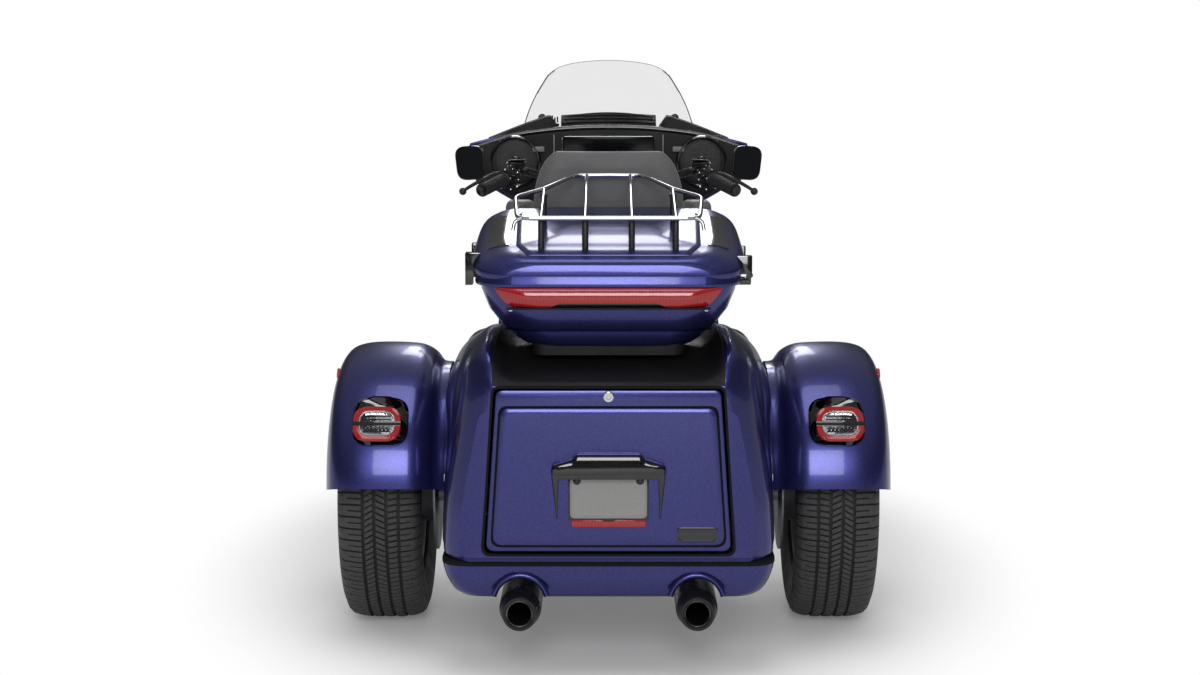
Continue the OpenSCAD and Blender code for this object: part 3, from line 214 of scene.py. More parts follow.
def make_finishes():
    # Basecoat with aluminium flake under clear lacquer: deep blue, bright and sharp where
    # it mirrors, with flakes drawn at 1.5 mm so that they show
    shade, tree, skin = finish("flake lacquer indigo", Metallic=0.84, Roughness=0.29,
                               Coat_Weight=0.42, Coat_Roughness=0.06, Coat_IOR=1.5)
    tex, place = grain(tree, shade, 320.0, 0.012, 0.001)
    flake = put(tree, "TexVoronoi", None, Vector=place.outputs["Object"], Scale=650.0)
    mottled(tree, shade, flake.outputs["Color"], "#30316c", "#3d3f7c", 0.2, 0.8)
    SKIN["blue_paint"] = skin
    # Piano-black enamel over ABS: nearly black, mirror sharp, faint moulding ripple
    coat("gloss_black", "gloss enamel black", relief=(60.0, 0.02, 0.002),
         Base_Color=tone("#0b0b0d"), Roughness=0.12, Coat_Weight=0.6, Coat_Roughness=0.04)
    # Powder coat on steel tube: satin, with the fine orange peel of baked powder
    coat("black_steel", "powder coat black", relief=(420.0, 0.12, 0.0006),
         tones=("#131315", "#1d1d20"), wear=(0.34, 0.5, 14.0), Specular_IOR_Level=0.5)
    # Moulded ABS with a leather-like grain, 1.4 mm across, drawn as cells
    coat("black_plastic", "moulded plastic black", relief=(700.0, 0.22, 0.0005, "TexVoronoi"),
         tones=("#0a0a0c", "#131315", 0.0, 0.8), wear=(0.5, 0.66, 9.0), Specular_IOR_Level=0.25)
    # Cast aluminium, bead blasted and clear coated: pale grey, soft glint, fine pits
    coat("grey_alloy", "cast aluminium grey", relief=(520.0, 0.18, 0.0005),
         tones=("#77797d", "#94969a"), wear=(0.36, 0.52, 12.0), Metallic=1.0)
    # Engine castings in black wrinkle enamel: dull, with 2 mm wrinkles
    coat("black_alloy", "wrinkle enamel black", relief=(380.0, 0.35, 0.0008, "TexVoronoi"),
         tones=("#17171a", "#29292d", 0.0, 0.7), wear=(0.42, 0.6, 10.0), Specular_IOR_Level=0.45)
    # Tyre and belt rubber: charcoal, dull, a little dust in the pores; the darker belt rubber on
    # the tyres' carcasses is painted shade in the grooves
    for slot, name, dark, light in (("tyre_rubber", "tyre rubber", "#333334", "#444445"),
                                    ("belt_rubber", "belt rubber and painted tyre groove shade", "#161618", "#222225")):
        shade, tree, skin = finish(name, Specular_IOR_Level=0.35)
        tex, place = grain(tree, shade, 260.0, 0.25, 0.0008, Detail=5.0)
        mottled(tree, shade, tex.outputs[0], dark, light)
        worn(tree, shade, 0.5, 0.7, 16.0)
        SKIN[slot] = skin
    # Upholstery vinyl: dark grey, soft sheen, leather grain about 2.2 mm across
    coat("seat_vinyl", "upholstery vinyl", relief=(450.0, 0.3, 0.0006, "TexVoronoi"),
         tones=("#4a4a4b", "#59595a", 0.0, 0.8), wear=(0.46, 0.6, 7.0), Sheen_Weight=0.15,
         Sheen_Roughness=0.4, Specular_IOR_Level=0.45)
    # Chromium plate: neutral mirror, with the faintest haze from polishing
    coat("chrome_steel", "chromium plate", wear=(0.05, 0.13, 30.0), Metallic=1.0,
         Base_Color=tone("#b4b6ba"))
    # Stainless pipe, browned and blued by heat
    coat("pipe_steel", "heat stained stainless", relief=(9.0, 0.02, 0.001),
         tones=("#5c5148", "#8a8681"), wear=(0.2, 0.36, 22.0), Metallic=1.0)
    # Muffler shell: ceramic black, satin
    coat("muffler_black", "ceramic coat black", relief=(300.0, 0.1, 0.0005),
         tones=("#141415", "#1e1e20"), wear=(0.22, 0.36, 12.0), Metallic=0.3)
    # Red acrylic lens, moulded with upright prisms 4 mm apart inside a smooth face
    # The faint red emission also makes the reflector under the plate glow, a painted glow there
    # since it is no lamp
    shade, tree, skin = finish("red acrylic lens", Base_Color=tone("#a8121a"), Roughness=0.16,
                               Coat_Weight=0.5, Coat_Roughness=0.05, IOR=1.49,
                               Emission_Color=tone("#a8121a"), Emission_Strength=0.05)
    place = put(tree, "TexCoord")
    ribs = put(tree, "TexWave", {"bands_direction": "X"}, Vector=place.outputs["Object"],
               Scale=40.0)
    relief = put(tree, "Bump", Strength=0.1, Distance=0.0006, Height=ribs.outputs["Fac"])
    tree.links.new(relief.outputs[0], shade.inputs["Normal"])
    mottled(tree, shade, ribs.outputs["Fac"], "#880f14", "#94161b", 0.2, 0.9)
    SKIN["red_lens"] = skin
    # Vacuum-metallised reflector bowl
    coat("lamp_glass", "metallised reflector", relief=(130.0, 0.3, 0.001, "TexVoronoi"),
         Metallic=1.0, Base_Color=tone("#dfe2e6"), Roughness=0.14)
    # Windshield sheet in clear polycarbonate, a breath of grey
    coat("clear_shield", "clear polycarbonate", Base_Color=tone("#eaeaea"), Roughness=0.0,
         Transmission_Weight=1.0, IOR=1.2)
    # Screen and gauge glass over black
    coat("screen_glass", "screen glass", relief=(20.0, 0.01, 0.001), Base_Color=tone("#08090b"),
         Roughness=0.12, Specular_IOR_Level=0.3)
    # Mirror: silvered glass, slightly grey
    coat("mirror_glass", "silvered glass", wear=(0.02, 0.05, 8.0), Metallic=1.0,
         Base_Color=tone("#2a2b2f"))
    # Blank plate: embossed aluminium under grey-white enamel
    coat("plate_enamel", "plate enamel grey", relief=(240.0, 0.06, 0.0006),
         tones=("#828281", "#898988"), wear=(0.4, 0.5, 12.0), Metallic=0.1)
    # Woven wire over the speakers: pale dots 2.4 mm apart, drawn coarser than real
    coat("speaker_mesh", "speaker mesh", relief=(420.0, 0.6, 0.0012, "TexVoronoi"),
         tones=("#0c0c0d", "#323234", 0.1, 0.7), Metallic=0.5, Roughness=0.4)
    # Painted highlight: dull mid grey, for the short strips above the speaker pods
    coat("painted_highlight_grey", "painted highlight grey", relief=(300.0, 0.1, 0.0005),
         tones=("#5a5a5c", "#68686a"), Roughness=0.45)
    # Polished edge of the clear sheet, dark because it shows the sheet's depth
    coat("shield_edge", "sheet edge", relief=(200.0, 0.05, 0.0004), tones=("#3a3c3e", "#55585a"),
         Roughness=0.25, Coat_Weight=0.4)
    # Weather seal: extruded EPDM, near black and dull; in the door's groove it is painted shade
    coat("seal_rubber_and_groove_shade", "weather seal rubber and painted groove shade", relief=(400.0, 0.15, 0.0004),
         tones=("#070708", "#0e0e10"), Specular_IOR_Level=0.2, Roughness=0.8)
    # Soot on steel: dead matt black with a brown cast
    coat("soot", "soot black", relief=(300.0, 0.3, 0.0006), tones=("#050505", "#0b0a09"),
         Specular_IOR_Level=0.1, Roughness=0.95)
    # Grip rubber: knurled by a fine diamond relief, 3 mm apart
    coat("grip_rubber", "grip rubber", relief=(330.0, 0.5, 0.0009, "TexVoronoi"),
         tones=("#121213", "#1f1f21", 0.0, 0.7), Specular_IOR_Level=0.4, Roughness=0.6)


make_finishes()
studio()


# ---- Modelling helpers ----

def only(piece):
    """Leaves one object selected and active."""
    bpy.ops.object.select_all(action="DESELECT")
    piece.select_set(True)
    bpy.context.view_layer.objects.active = piece


def edited(piece, **steps):
    """Runs edit-mode operators, by name, on the whole mesh."""
    only(piece)
    bpy.ops.object.mode_set(mode="EDIT")
    bpy.ops.mesh.select_all(action="SELECT")
    for name, settings in steps.items():
        getattr(bpy.ops.mesh, name)(**settings)
    bpy.ops.object.mode_set(mode="OBJECT")


def linked(name, data):
    piece = bpy.data.objects.new(name, data)
    bpy.context.scene.collection.objects.link(piece)
    return piece


def copied(piece, name=None):
    """Its own copy, free of marks."""
    twin = piece.copy()
    twin.data = piece.data.copy()
    twin.name = name or piece.name
    for key in list(twin.keys()):
        del twin[key]
    bpy.context.scene.collection.objects.link(twin)
    return twin


def catmull(rows, steps):
    """Rows of numbers joined by a smooth curve with the given steps between them."""
    out = []
    for i in range(len(rows) - 1):
        a, b = rows[max(i - 1, 0)], rows[i]
        c, d = rows[i + 1], rows[min(i + 2, len(rows) - 1)]
        for j in range(steps):
            t = j / steps
            out.append([0.5 * (2 * q + (r - p) * t + (2 * p - 5 * q + 4 * r - s) * t * t
                               + (3 * q - p - 3 * r + s) * t ** 3)
                        for p, q, r, s in zip(a, b, c, d)])
    out.append(list(rows[-1]))
    return out


def corner(a, p, c, reach, share, steps):
    """Points round the corner p between a and c, using at most a share of either side."""
    d = min(reach, (a - p).length * share, (c - p).length * share)
    start, end = p + (a - p).normalized() * d, p + (c - p).normalized() * d
    return [(1 - t) ** 2 * start + 2 * t * (1 - t) * p + t * t * end
            for t in (j / steps for j in range(steps + 1))]


def rounded(points, reach, steps):
    """A closed outline with every corner rounded."""
    out = []
    n = len(points)
    for i in range(n):
        a, p, c = (Vector(points[k % n]) for k in (i - 1, i, i + 1))
        out += corner(a, p, c, reach[i], 0.48, steps)
    return out


def both_halves(half):
    """A right-hand outline, bottom to top, completed on the left."""
    return half + [(-x, z) for x, z in reversed(half)]


def twice(reach):
    return reach + reach[::-1]


def loft(name, rings, closed=True, caps=True):
    """Skin through rings of points given in millimetres."""
    n = len(rings[0])
    points = [tuple(c / 1000 for c in p) for ring in rings for p in ring]
    faces = []
    for i in range(len(rings) - 1):
        for j in range(n if closed else n - 1):
            k = (j + 1) % n
            faces.append((i * n + j, i * n + k, (i + 1) * n + k, (i + 1) * n + j))
    last = (len(rings) - 1) * n
    if caps == "folded":
        # An open shell's ring is its outer row and then its inner row backwards
        for j in range(n // 2 - 1):
            cap = (j, j + 1, n - 2 - j, n - 1 - j)
            faces += [cap[::-1], tuple(last + c for c in cap)]
    elif caps:
        faces += [tuple(range(n))[::-1], tuple(last + j for j in range(n))]
    mesh = bpy.data.meshes.new(name)
    mesh.from_pydata(points, [], faces)
    mesh.validate()
    piece = linked(name, mesh)
    edited(piece, remove_doubles={"threshold": 1e-6}, normals_make_consistent={"inside": False})
    return piece


def modify(piece, kind, **settings):
    """Adds one modifier and applies it."""
    only(piece)
    change = piece.modifiers.new(kind.lower(), kind)
    for name, value in settings.items():
        setattr(change, name, value)
    bpy.ops.object.modifier_apply(modifier=change.name)
    return piece


def soften(piece, width, segments, angle):
    """Rounds the edges that are sharper than an angle."""
    modify(piece, "BEVEL", width=width, segments=segments, limit_method="ANGLE",
           angle_limit=math.radians(angle))


def carve(piece, *cutters, operation="DIFFERENCE"):
    for cutter in cutters:
        modify(piece, "BOOLEAN", operation=operation, object=cutter, solver="EXACT")
        bpy.data.objects.remove(cutter)
    return piece


def joined(name, pieces):
    bpy.ops.object.select_all(action="DESELECT")
    for piece in pieces:
        piece.select_set(True)
    bpy.context.view_layer.objects.active = pieces[0]
    bpy.ops.object.join()
    pieces[0].name = name
    return pieces[0]


def mirrored(piece):
    """Its own copy on the other side of the vehicle."""
    twin = copied(piece)
    twin.data.transform(Matrix.Scale(-1, 4, (1, 0, 0)))
    edited(twin, flip_normals={})
    return twin


def pair(name, piece):
    """The right-hand piece and its mirror image as one."""
    return joined(name, [piece, mirrored(piece)])


def block(name, centre, size, round_by=2.0, segments=3, turn=(0, 0, 0)):
    """A block with rounded edges. Millimetres and degrees."""
    bpy.ops.object.select_all(action="DESELECT")
    bpy.ops.mesh.primitive_cube_add(size=1)
    piece = bpy.context.active_object
    piece.name = name
    piece.scale = [s / 1000 for s in size]
    bpy.ops.object.transform_apply(location=False, rotation=False, scale=True)
    if round_by:
        modify(piece, "BEVEL", width=round_by / 1000, segments=segments, limit_method="NONE")
    piece.rotation_euler = [math.radians(a) for a in turn]
    piece.location = [c / 1000 for c in centre]
    bpy.ops.object.transform_apply(location=True, rotation=True, scale=True)
    return piece


def disc(name, start, end, radius, round_by=1.0, sides=48):
    """A round bar or disc between two points, with its rims rounded. Millimetres."""
    a, b = Vector(start) / 1000, Vector(end) / 1000
    bpy.ops.object.select_all(action="DESELECT")
    bpy.ops.mesh.primitive_cone_add(vertices=sides, radius1=radius / 1000,
                                    radius2=radius / 1000, depth=(b - a).length)
    piece = bpy.context.active_object
    piece.name = name
    if round_by:
        soften(piece, round_by / 1000, 2, 50)
    piece.rotation_euler = (b - a).to_track_quat("Z", "Y").to_euler()
    piece.location = (a + b) / 2
    bpy.ops.object.transform_apply(location=True, rotation=True, scale=True)
    return piece


def pipe(name, points, radius, bend=40, steps=8, sides=6):
    """A bent round tube along points in millimetres, its bends rounded."""
    path = [Vector(points[0])]
    for i in range(1, len(points) - 1):
        a, p, c = (Vector(points[k]) for k in (i - 1, i, i + 1))
        path += corner(a, p, c, bend, 0.46, steps)
    path.append(Vector(points[-1]))
    line = bpy.data.curves.new(name, "CURVE")
    line.dimensions = "3D"
    spline = line.splines.new("POLY")
    spline.points.add(len(path) - 1)
    for spot, p in zip(spline.points, path):
        spot.co = (p.x / 1000, p.y / 1000, p.z / 1000, 1)
    line.bevel_depth = radius / 1000
    line.bevel_resolution = sides
    line.use_fill_caps = True
    only(linked(name, line))
    bpy.ops.object.convert(target="MESH")
    return bpy.context.active_object


def turned(name, profile, centre, axis="X", steps=64):
    """A shape turned from (radius, along) points about an axis through a centre, in mm."""
    ring = [(0.0, r, a) for r, a in profile]
    rings = []
    for i in range(steps):
        t = 2 * math.pi * i / steps
        row = []
        for _, r, a in ring:
            u, v = r * math.cos(t), r * math.sin(t)
            spot = {"X": (a, u, v), "Y": (u, a, v), "Z": (u, v, a)}[axis]
            row.append([spot[k] + centre[k] for k in range(3)])
        rings.append(row)
    rings.append(rings[0])
    return loft(name, rings, closed=True, caps=False)


def place(piece, node, skin=None, slot=None, angle=35, replaces=True):
    """Gives a finished piece its material, smooth shading and body; slot is not used."""
    piece.data.materials.clear()
    piece.data.materials.append(SKIN[skin or SLOT_OF[node]])
    only(piece)
    bpy.ops.object.shade_smooth_by_angle(angle=math.radians(angle))
    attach(piece, BODY_OF[node])
    if replaces:
        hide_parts(node)
    return piece


def add(piece, node, skin=None, slot=None, angle=35):
    """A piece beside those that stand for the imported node."""
    return place(piece, node, skin, slot, angle, replaces=False)


def merged_copy(node, name):
    """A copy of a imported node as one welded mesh."""
    piece = copied(CAD[node], name)
    piece.parent = None
    piece.matrix_world = Matrix.Identity(4)
    edited(piece, remove_doubles={"threshold": 0.00004},
           dissolve_limited={"angle_limit": math.radians(0.6)})
    for layer in list(piece.data.uv_layers):
        piece.data.uv_layers.remove(layer)
    return piece


# ---- Frame, engine and running gear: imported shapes, welded and smoothed ----

def carried_over():
    plain = (("frame", None, 40), ("swingarm", None, 40), ("axle_housing", "black_alloy", 35),
             ("engine_case", None, 35), ("drive_belt", None, 30),
             ("header_pipes", "pipe_steel", 40), ("side_covers", None, 35),
             ("shock_absorbers", None, 35), ("engine_guard", None, 45), ("leg_shields", None, 45),
             ("floorboards", None, 35), ("foot_controls", None, 35), ("fork", None, 40),
             ("front_caliper", None, 30), ("rear_calipers", None, 30), ("case_bracket", None, 30),
             ("handlebar", None, 40), ("case_hinges", "gloss_black", 30),
             ("lid_fittings", "gloss_black", 30), ("air_cleaner", None, 30))
    for node, skin, angle in plain:
        piece = merged_copy(node, node + "_smooth")
        if node in ("case_hinges", "lid_fittings", "rear_calipers", "air_cleaner", "engine_case"):
            soften(piece, 0.0022, 3, 40)
        place(piece, node, skin, angle=angle)


carried_over()


def cylinders():
    # Cast barrels with thin cooling fins; the edges are broken by a small bevel
    piece = merged_copy("cylinders", "finned_cylinders")
    soften(piece, 0.0008, 2, 40)
    place(piece, "cylinders", angle=30)


cylinders()


# ---- Tank, console, seat, backrest, armrests ----

TANK = catmull([[500, 62, 742, 812], [470, 104, 722, 846], [380, 150, 706, 874],
                [250, 170, 700, 884], [110, 158, 702, 872], [10, 122, 708, 846],
                [-40, 84, 716, 812]], 6)


def fuel_tank():
    rings = []
    for y, w, low, top in TANK:
        half = [(w * 0.62, low), (w, low + 0.34 * (top - low)),
                (w * 0.86, low + 0.82 * (top - low)), (44, top)]
        ring = rounded(both_halves(half), twice([30, 70, 60, 24]), 6)
        rings.append([(p[0], y, p[1]) for p in ring])
    piece = loft("tank_shell", rings)
    carve(piece, block("tunnel", (0, 220, 700), (58, 640, 150), 20))
    place(piece, "fuel_tank", angle=50)
    # Flush filler cap beside the console
    cap = turned("filler_cap", [(0.1, 0), (30, 0), (33, 2), (33, 7), (28, 11), (12, 12), (0.1, 12)],
                 (74, 250, 872), "Z")
    add(cap, "fuel_tank", "chrome_steel", angle=30, slot="chrome_steel")


fuel_tank()


def console():
    rings = []
    for y, _, _, top in TANK:
        if 10 <= y <= 380:
            ring = rounded([(36, top + 1), (30, top + 22), (-30, top + 22), (-36, top + 1)],
                           [1, 8, 8, 1], 4)
            rings.append([(p[0], y, p[1]) for p in ring])
    piece = loft("console_cover", rings)
    soften(piece, 0.003, 3, 60)
    place(piece, "console", "gloss_black", angle=35)


console()


def cushion(name, rings, node, swell, voxel):
    """A stuffed vinyl pad: a lofted core, puffed out by a cloth run, then smoothed."""
    piece = loft(name, rings)
    modify(piece, "REMESH", mode="VOXEL", voxel_size=voxel)
    rest = [v.co.copy() for v in piece.data.vertices]
    only(piece)
    cloth = piece.modifiers.new("cloth", "CLOTH")
    cloth.settings.use_pressure = True
    cloth.settings.uniform_pressure_force = 4
    cloth.settings.effector_weights.gravity = 0
    cloth.settings.quality = 4
    cloth.point_cache.frame_start = 1
    cloth.point_cache.frame_end = 20
    for step in range(1, 17):
        bpy.context.scene.frame_set(step)
    shaped = piece.evaluated_get(bpy.context.evaluated_depsgraph_get())
    moved = [v.co.copy() for v in shaped.data.vertices]
    piece.modifiers.remove(cloth)
    bpy.context.scene.frame_set(1)
    for vertex, a, b in zip(piece.data.vertices, rest, moved):
        step = b - a
        if step.length > swell / 1000:
            step *= swell / 1000 / step.length
        vertex.co = a + step
    modify(piece, "SMOOTH", factor=0.5, iterations=6)
    place(piece, node, "seat_vinyl", angle=180)


def seat():
    rows = catmull([[-54, 54, 748, 780], [-90, 90, 734, 784], [-180, 134, 712, 746],
                    [-290, 162, 706, 736], [-390, 170, 706, 754], [-440, 172, 722, 800],
                    [-484, 172, 748, 832], [-540, 170, 749, 840], [-620, 168, 749, 841],
                    [-700, 152, 750, 838], [-712, 142, 758, 828]], 4)
    rings = []
    for y, w, low, top in rows:
        half = [(w * 0.9, low), (w, low + 0.45 * (top - low)), (w * 0.8, top)]
        ring = rounded(both_halves(half), twice([14, 24, 40]), 4)
        rings.append([(p[0], y, p[1]) for p in ring])
    cushion("seat_cushion", rings, "seat", 6, 0.007)


def backrest():
    rows = catmull([[874, 164, -762, -734], [904, 186, -768, -722], [1000, 194, -770, -714],
                    [1100, 192, -772, -714], [1170, 174, -774, -722], [1208, 146, -770, -734],
                    [1215, 130, -764, -746]], 5)
    rings = []
    for z, w, back, front in rows:
        ring = rounded([(w, back), (w, front), (-w, front), (-w, back)], [18, 26, 26, 18], 6)
        rings.append([(p[0], p[1], z) for p in ring])
    cushion("backrest_pad", rings, "backrest", 5, 0.006)


def armrests():
    pads = []
    for side in (1, -1):
        rings = []
        for y, a, b, low, high in catmull([[-700, 210, 262, 1014, 1080],
                                           [-640, 190, 260, 1014, 1082],
                                           [-560, 194, 252, 1024, 1066],
                                           [-535, 204, 240, 1032, 1056]], 5):
            ring = rounded([(b, low), (b, high), (a, high), (a, low)], [16] * 4, 5)
            rings.append([(side * p[0], y, p[1]) for p in ring])
        pads.append(loft("pad", rings))
    piece = joined("armrest_pads", pads)
    modify(piece, "SMOOTH", factor=0.5, iterations=4)
    place(piece, "armrests", "seat_vinyl", angle=180)


seat()
backrest()
armrests()


# ---- Rear body ----

BODY = catmull([[-1290, 390, 340, 322, 280, 722, 704], [-1270, 392, 341, 328, 283, 768, 712],
                [-1230, 395, 344, 334, 284, 792, 724], [-1160, 398, 354, 342, 284, 801, 740],
                [-1080, 401, 378, 352, 284, 803, 745], [-1000, 402, 396, 358, 284, 802, 745],
                [-920, 402, 400, 362, 280, 800, 745], [-850, 402, 401, 360, 270, 794, 754],
                [-810, 402, 401, 352, 258, 782, 776], [-790, 402, 401, 348, 250, 776, 776]], 6)
FLOOR_Z = 281
DECK_Z = 742


def body_ring(row, inset, floor_z):
    y, low, mid, shoulder, ridge, crest, middle = row
    half = [(low - inset, floor_z), (low + 0.18 * (mid - low) - inset, 420),
            (mid - inset, min(648, crest - 80)),
            (shoulder - inset, min(742, crest - 24 - inset)),
            (ridge - inset, crest - inset), (ridge - 46, middle - inset)]
    ring = rounded(both_halves(half), twice([24, 60, 46, 40, 26, 26]), 5)
    return [(p[0], y, p[1]) for p in ring]


def level(row):
    return row[:5] + [row[6], row[6]]


def door_outline(grow):
    return rounded([(286 + grow, 308 - grow), (260 + grow, 688 + grow),
                    (-260 - grow, 688 + grow), (-286 - grow, 308 - grow)], [22, 16, 16, 22], 8)


def field(grow, y):
    """Outline of the door's raised field."""
    ring = rounded([(276 + grow, 318 - grow), (254 + grow, 652 + grow),
                    (-254 - grow, 652 + grow), (-276 - grow, 318 - grow)], [26, 20, 20, 26], 8)
    return [(p[0], y, p[1]) for p in ring]


def door_prism(name, grow, y0, y1):
    outline = door_outline(grow)
    return loft(name, [[(p[0], y, p[1]) for p in outline] for y in (y0, y1)])


def trunk_body():
    first = level(BODY[0])
    first[0] = -1298
    rings = [body_ring(first, g, FLOOR_Z + 1) for g in (40, 30, 20, 10)]
    rings += [body_ring(row, 0, FLOOR_Z) for row in BODY]
    shell = loft("body_shell", rings)
    hold = [row for row in BODY if -1278 <= row[0] <= -806]
    inner = [body_ring(level(row) if i in (0, len(hold) - 1) else row, 12, FLOOR_Z + 12)
             for i, row in enumerate(hold)]
    deck = catmull([[-797, 402, 520, DECK_Z], [-700, 402, 520, DECK_Z], [-600, 398, 520, DECK_Z],
                    [-540, 380, 524, 738], [-505, 340, 530, 726], [-490, 300, 540, 706]], 5)

    def deck_ring(row, inset, drop=0, shift=0):
        y, w, low, top = row
        half = [(w - inset, low - drop), (w - inset, 640), (w - 50 - inset, top - inset)]
        return [(p[0], y + shift, p[1]) for p in rounded(both_halves(half), twice([10, 30, 30]),
                                                         5)]

    front = loft("deck", [deck_ring(row, 0) for row in deck])
    under = loft("axle_space", [deck_ring(row, 12, 40, 12 if i == 0 else -12)
                                for i, row in enumerate(deck)])
    carve(shell, loft("hold", inner), door_prism("doorway", 5, -1330, -1264))
    carve(front, under)
    # The flanks turn away from the doorway in one soft curve
    for vertex in shell.data.vertices:
        x, y, z = vertex.co * 1000
        edge = 300 - 26 * min(1, max(0, (z - 308) / 380))
        across = min(1, max(0, (abs(x) - edge) / (394 - 0.13 * max(0, z - 400) - edge)))
        along = min(1, max(0, (-1090 - y) / 170))
        vertex.co.y += 0.086 * across ** 1.35 * along * along * (3 - 2 * along)
    shell.data.update()
    piece = joined("trunk_shell", [shell, front])
    soften(piece, 0.0014, 2, 60)
    place(piece, "trunk_body", angle=32)


def trunk_door():
    # Pressed steel outer skin with a raised field inside a groove
    def ring_at(grow, y):
        return [(p[0], y, p[1]) for p in door_outline(grow)]

    pan = loft("door_skin", [ring_at(-4, -1274), ring_at(-1, -1276), ring_at(0, -1279),
                             ring_at(0, -1290), ring_at(-2, -1293), ring_at(-5, -1294)])
    groove = loft("groove", [field(-1, -1310), field(-1, -1288)])
    carve(pan, groove)
    panel = loft("field", [field(-9, -1284), field(-6, -1286), field(-5, -1291),
                           field(-6.5, -1295.5), field(-10, -1297.4), field(-18, -1298)])
    piece = joined("door_outer_skin", [pan, panel])
    place(piece, "trunk_door", angle=28)
    lock = turned("door_lock", [(0.1, -1299), (5, -1299), (5.5, -1300.5), (11, -1300.5),
                                (13.5, -1298), (14, -1293), (14, -1288), (0.1, -1288)],
                  (0, 0, 672), "Y")
    slot = block("key_slot", (0, -1301, 672), (2, 3, 8), 0.4)
    carve(lock, slot)
    add(lock, "trunk_door", "chrome_steel", angle=30, slot="chrome_steel")
    badge = loft("bare_badge", [[(p[0] + 206, y, p[1] + 350) for p in rounded(
        [(47 - g, -17 + g), (47 - g, 17 - g), (-47 + g, 17 - g), (-47 + g, -17 + g)], [9] * 4, 6)]
        for g, y in ((0, -1297), (0, -1300.5), (1, -1301.5), (3.5, -1301.5), (4.5, -1300.6))])
    add(badge, "trunk_door", "gloss_black", angle=30, slot="black_plastic")


def skirt(z, w, back, front=-1096):
    """Outline of the valance at one height."""
    ring = rounded([(w, front), (-w, front), (-w, back), (w, back)], [4, 4, 70, 70], 12)
    return [(p[0], p[1], z) for p in ring]


def rear_valance():
    rows = catmull([[280.7, 390, -1284], [262, 389, -1282], [232, 380, -1276],
                    [206, 366, -1266], [193, 350, -1256]], 6)
    shell = loft("valance", [skirt(z, w, b, -1100) for z, w, b in rows])
    inner = loft("inside", [skirt(z, w, b, -1080) for z, w, b in
                            catmull([[300, 378, -1272], [262, 377, -1270], [232, 368, -1264],
                                     [206, 354, -1254], [180, 330, -1240]], 4)])
    carve(shell, inner)
    for side in (1, -1):
        carve(shell, disc("arch", (side * 206, -1400, 194), (side * 206, -1060, 194), 58, 0, 64),
              block("mouth", (side * 206, -1200, 180), (116, 300, 28), 0))
    soften(shell, 0.0025, 3, 55)
    place(shell, "rear_valance", angle=35)


def seals_and_seams():
    # Rubber lip round the doorway, and a near-black bead in the door's groove that darkens it as
    # painted shade
    def lip(name, a, b, y0, y1):
        rings = [[(p[0], y, p[1]) for p in door_outline(g)]
                 for g, y in ((a, y0), (a, y1), (b, y1), (b, y0), (a, y0))]
        return loft(name, rings, caps=False)

    add(lip("doorway_lip", 4.2, 9.5, -1290, -1299.2), "trunk_body", "seal_rubber_and_groove_shade", angle=40,
        slot="belt_rubber")

    # Near-black bead in the groove: painted shade
    bead = loft("bead", [field(-7, -1287), field(-7, -1291), field(-0.5, -1291), field(-0.5, -1287),
                         field(-7, -1287)], caps=False)
    add(bead, "trunk_door", "seal_rubber_and_groove_shade", angle=40, slot="belt_rubber")

    # Dark joint between the body and the valance
    seam = [(280.9, 330, -1226), (280.9, 391.2, -1286), (272, 391.2, -1286), (271, 389, -1283),
            (271, 382, -1276), (280.9, 330, -1226)]
    joint = loft("valance_joint", [skirt(*row) for row in seam], caps=False)
    add(joint, "rear_valance", "seal_rubber_and_groove_shade", angle=40, slot="belt_rubber")


def dark_top_sheet():
    # Black grained sheet laid on the body's top between the shoulders, under the case, making that
    # area dark
    piece = copied(bpy.data.objects["trunk_shell"], "dark_top_sheet")
    only(piece)
    bpy.ops.object.mode_set(mode="EDIT")
    for at, way in (((0.268, 0, 0), (1, 0, 0)), ((-0.268, 0, 0), (-1, 0, 0)),
                    ((0, 0, 0.697), (0, 0, -1)), ((0, -0.80, 0), (0, 1, 0))):
        bpy.ops.mesh.select_all(action="SELECT")
        bpy.ops.mesh.bisect(plane_co=at, plane_no=way, clear_outer=True)
    bpy.ops.object.mode_set(mode="OBJECT")
    for face in piece.data.polygons:
        face.select = face.normal.z < 0.15 and face.normal.y > -0.3
    bpy.ops.object.mode_set(mode="EDIT")
    bpy.ops.mesh.select_mode(type="FACE")
    bpy.ops.mesh.delete(type="FACE")
    bpy.ops.mesh.select_all(action="SELECT")
    bpy.ops.mesh.delete_loose()
    bpy.ops.object.mode_set(mode="OBJECT")
    modify(piece, "SOLIDIFY", thickness=0.0022, offset=1.0)
    add(piece, "trunk_body", "black_plastic", angle=35, slot="black_plastic")


trunk_body()
trunk_door()
rear_valance()
seals_and_seams()
dark_top_sheet()


# ---- Rear fenders and their lamps ----

FENDER = catmull([[4, 362], [20, 366], [45, 372], [70, 382], [90, 391], [110, 402], [130, 418],
                  [146, 426], [158, 423], [168, 415]], 6)
AXLE_Y = -660
AXLE_Z = 324


def fender_row(angle, radius, inset):
    q, o = radius - inset, 698 - inset
    bite = math.sin(math.radians(angle))
    return [[402.0, q - 58 + 8 * bite], [424.4, q - 46], [444, q - 22], [476, q - 5], [520, q],
            [580, q + 1], [624, q - 3], [654, q - 14], [o - 24, q - 36], [o - 12, q - 64],
            [o - 5, q - 96], [o, q - 128 - 6 * bite]]


def rear_fender():
    rings = []
    for angle, radius in FENDER:
        outer = catmull(fender_row(angle, radius, 0), 5)
        inner = catmull(fender_row(angle, radius, 8), 5)[::-1]
        a = math.radians(angle)
        rings.append([(x, AXLE_Y + q * math.cos(a), AXLE_Z + q * math.sin(a))
                      for x, q in outer + inner])
    return loft("fender_shell", rings, caps="folded")


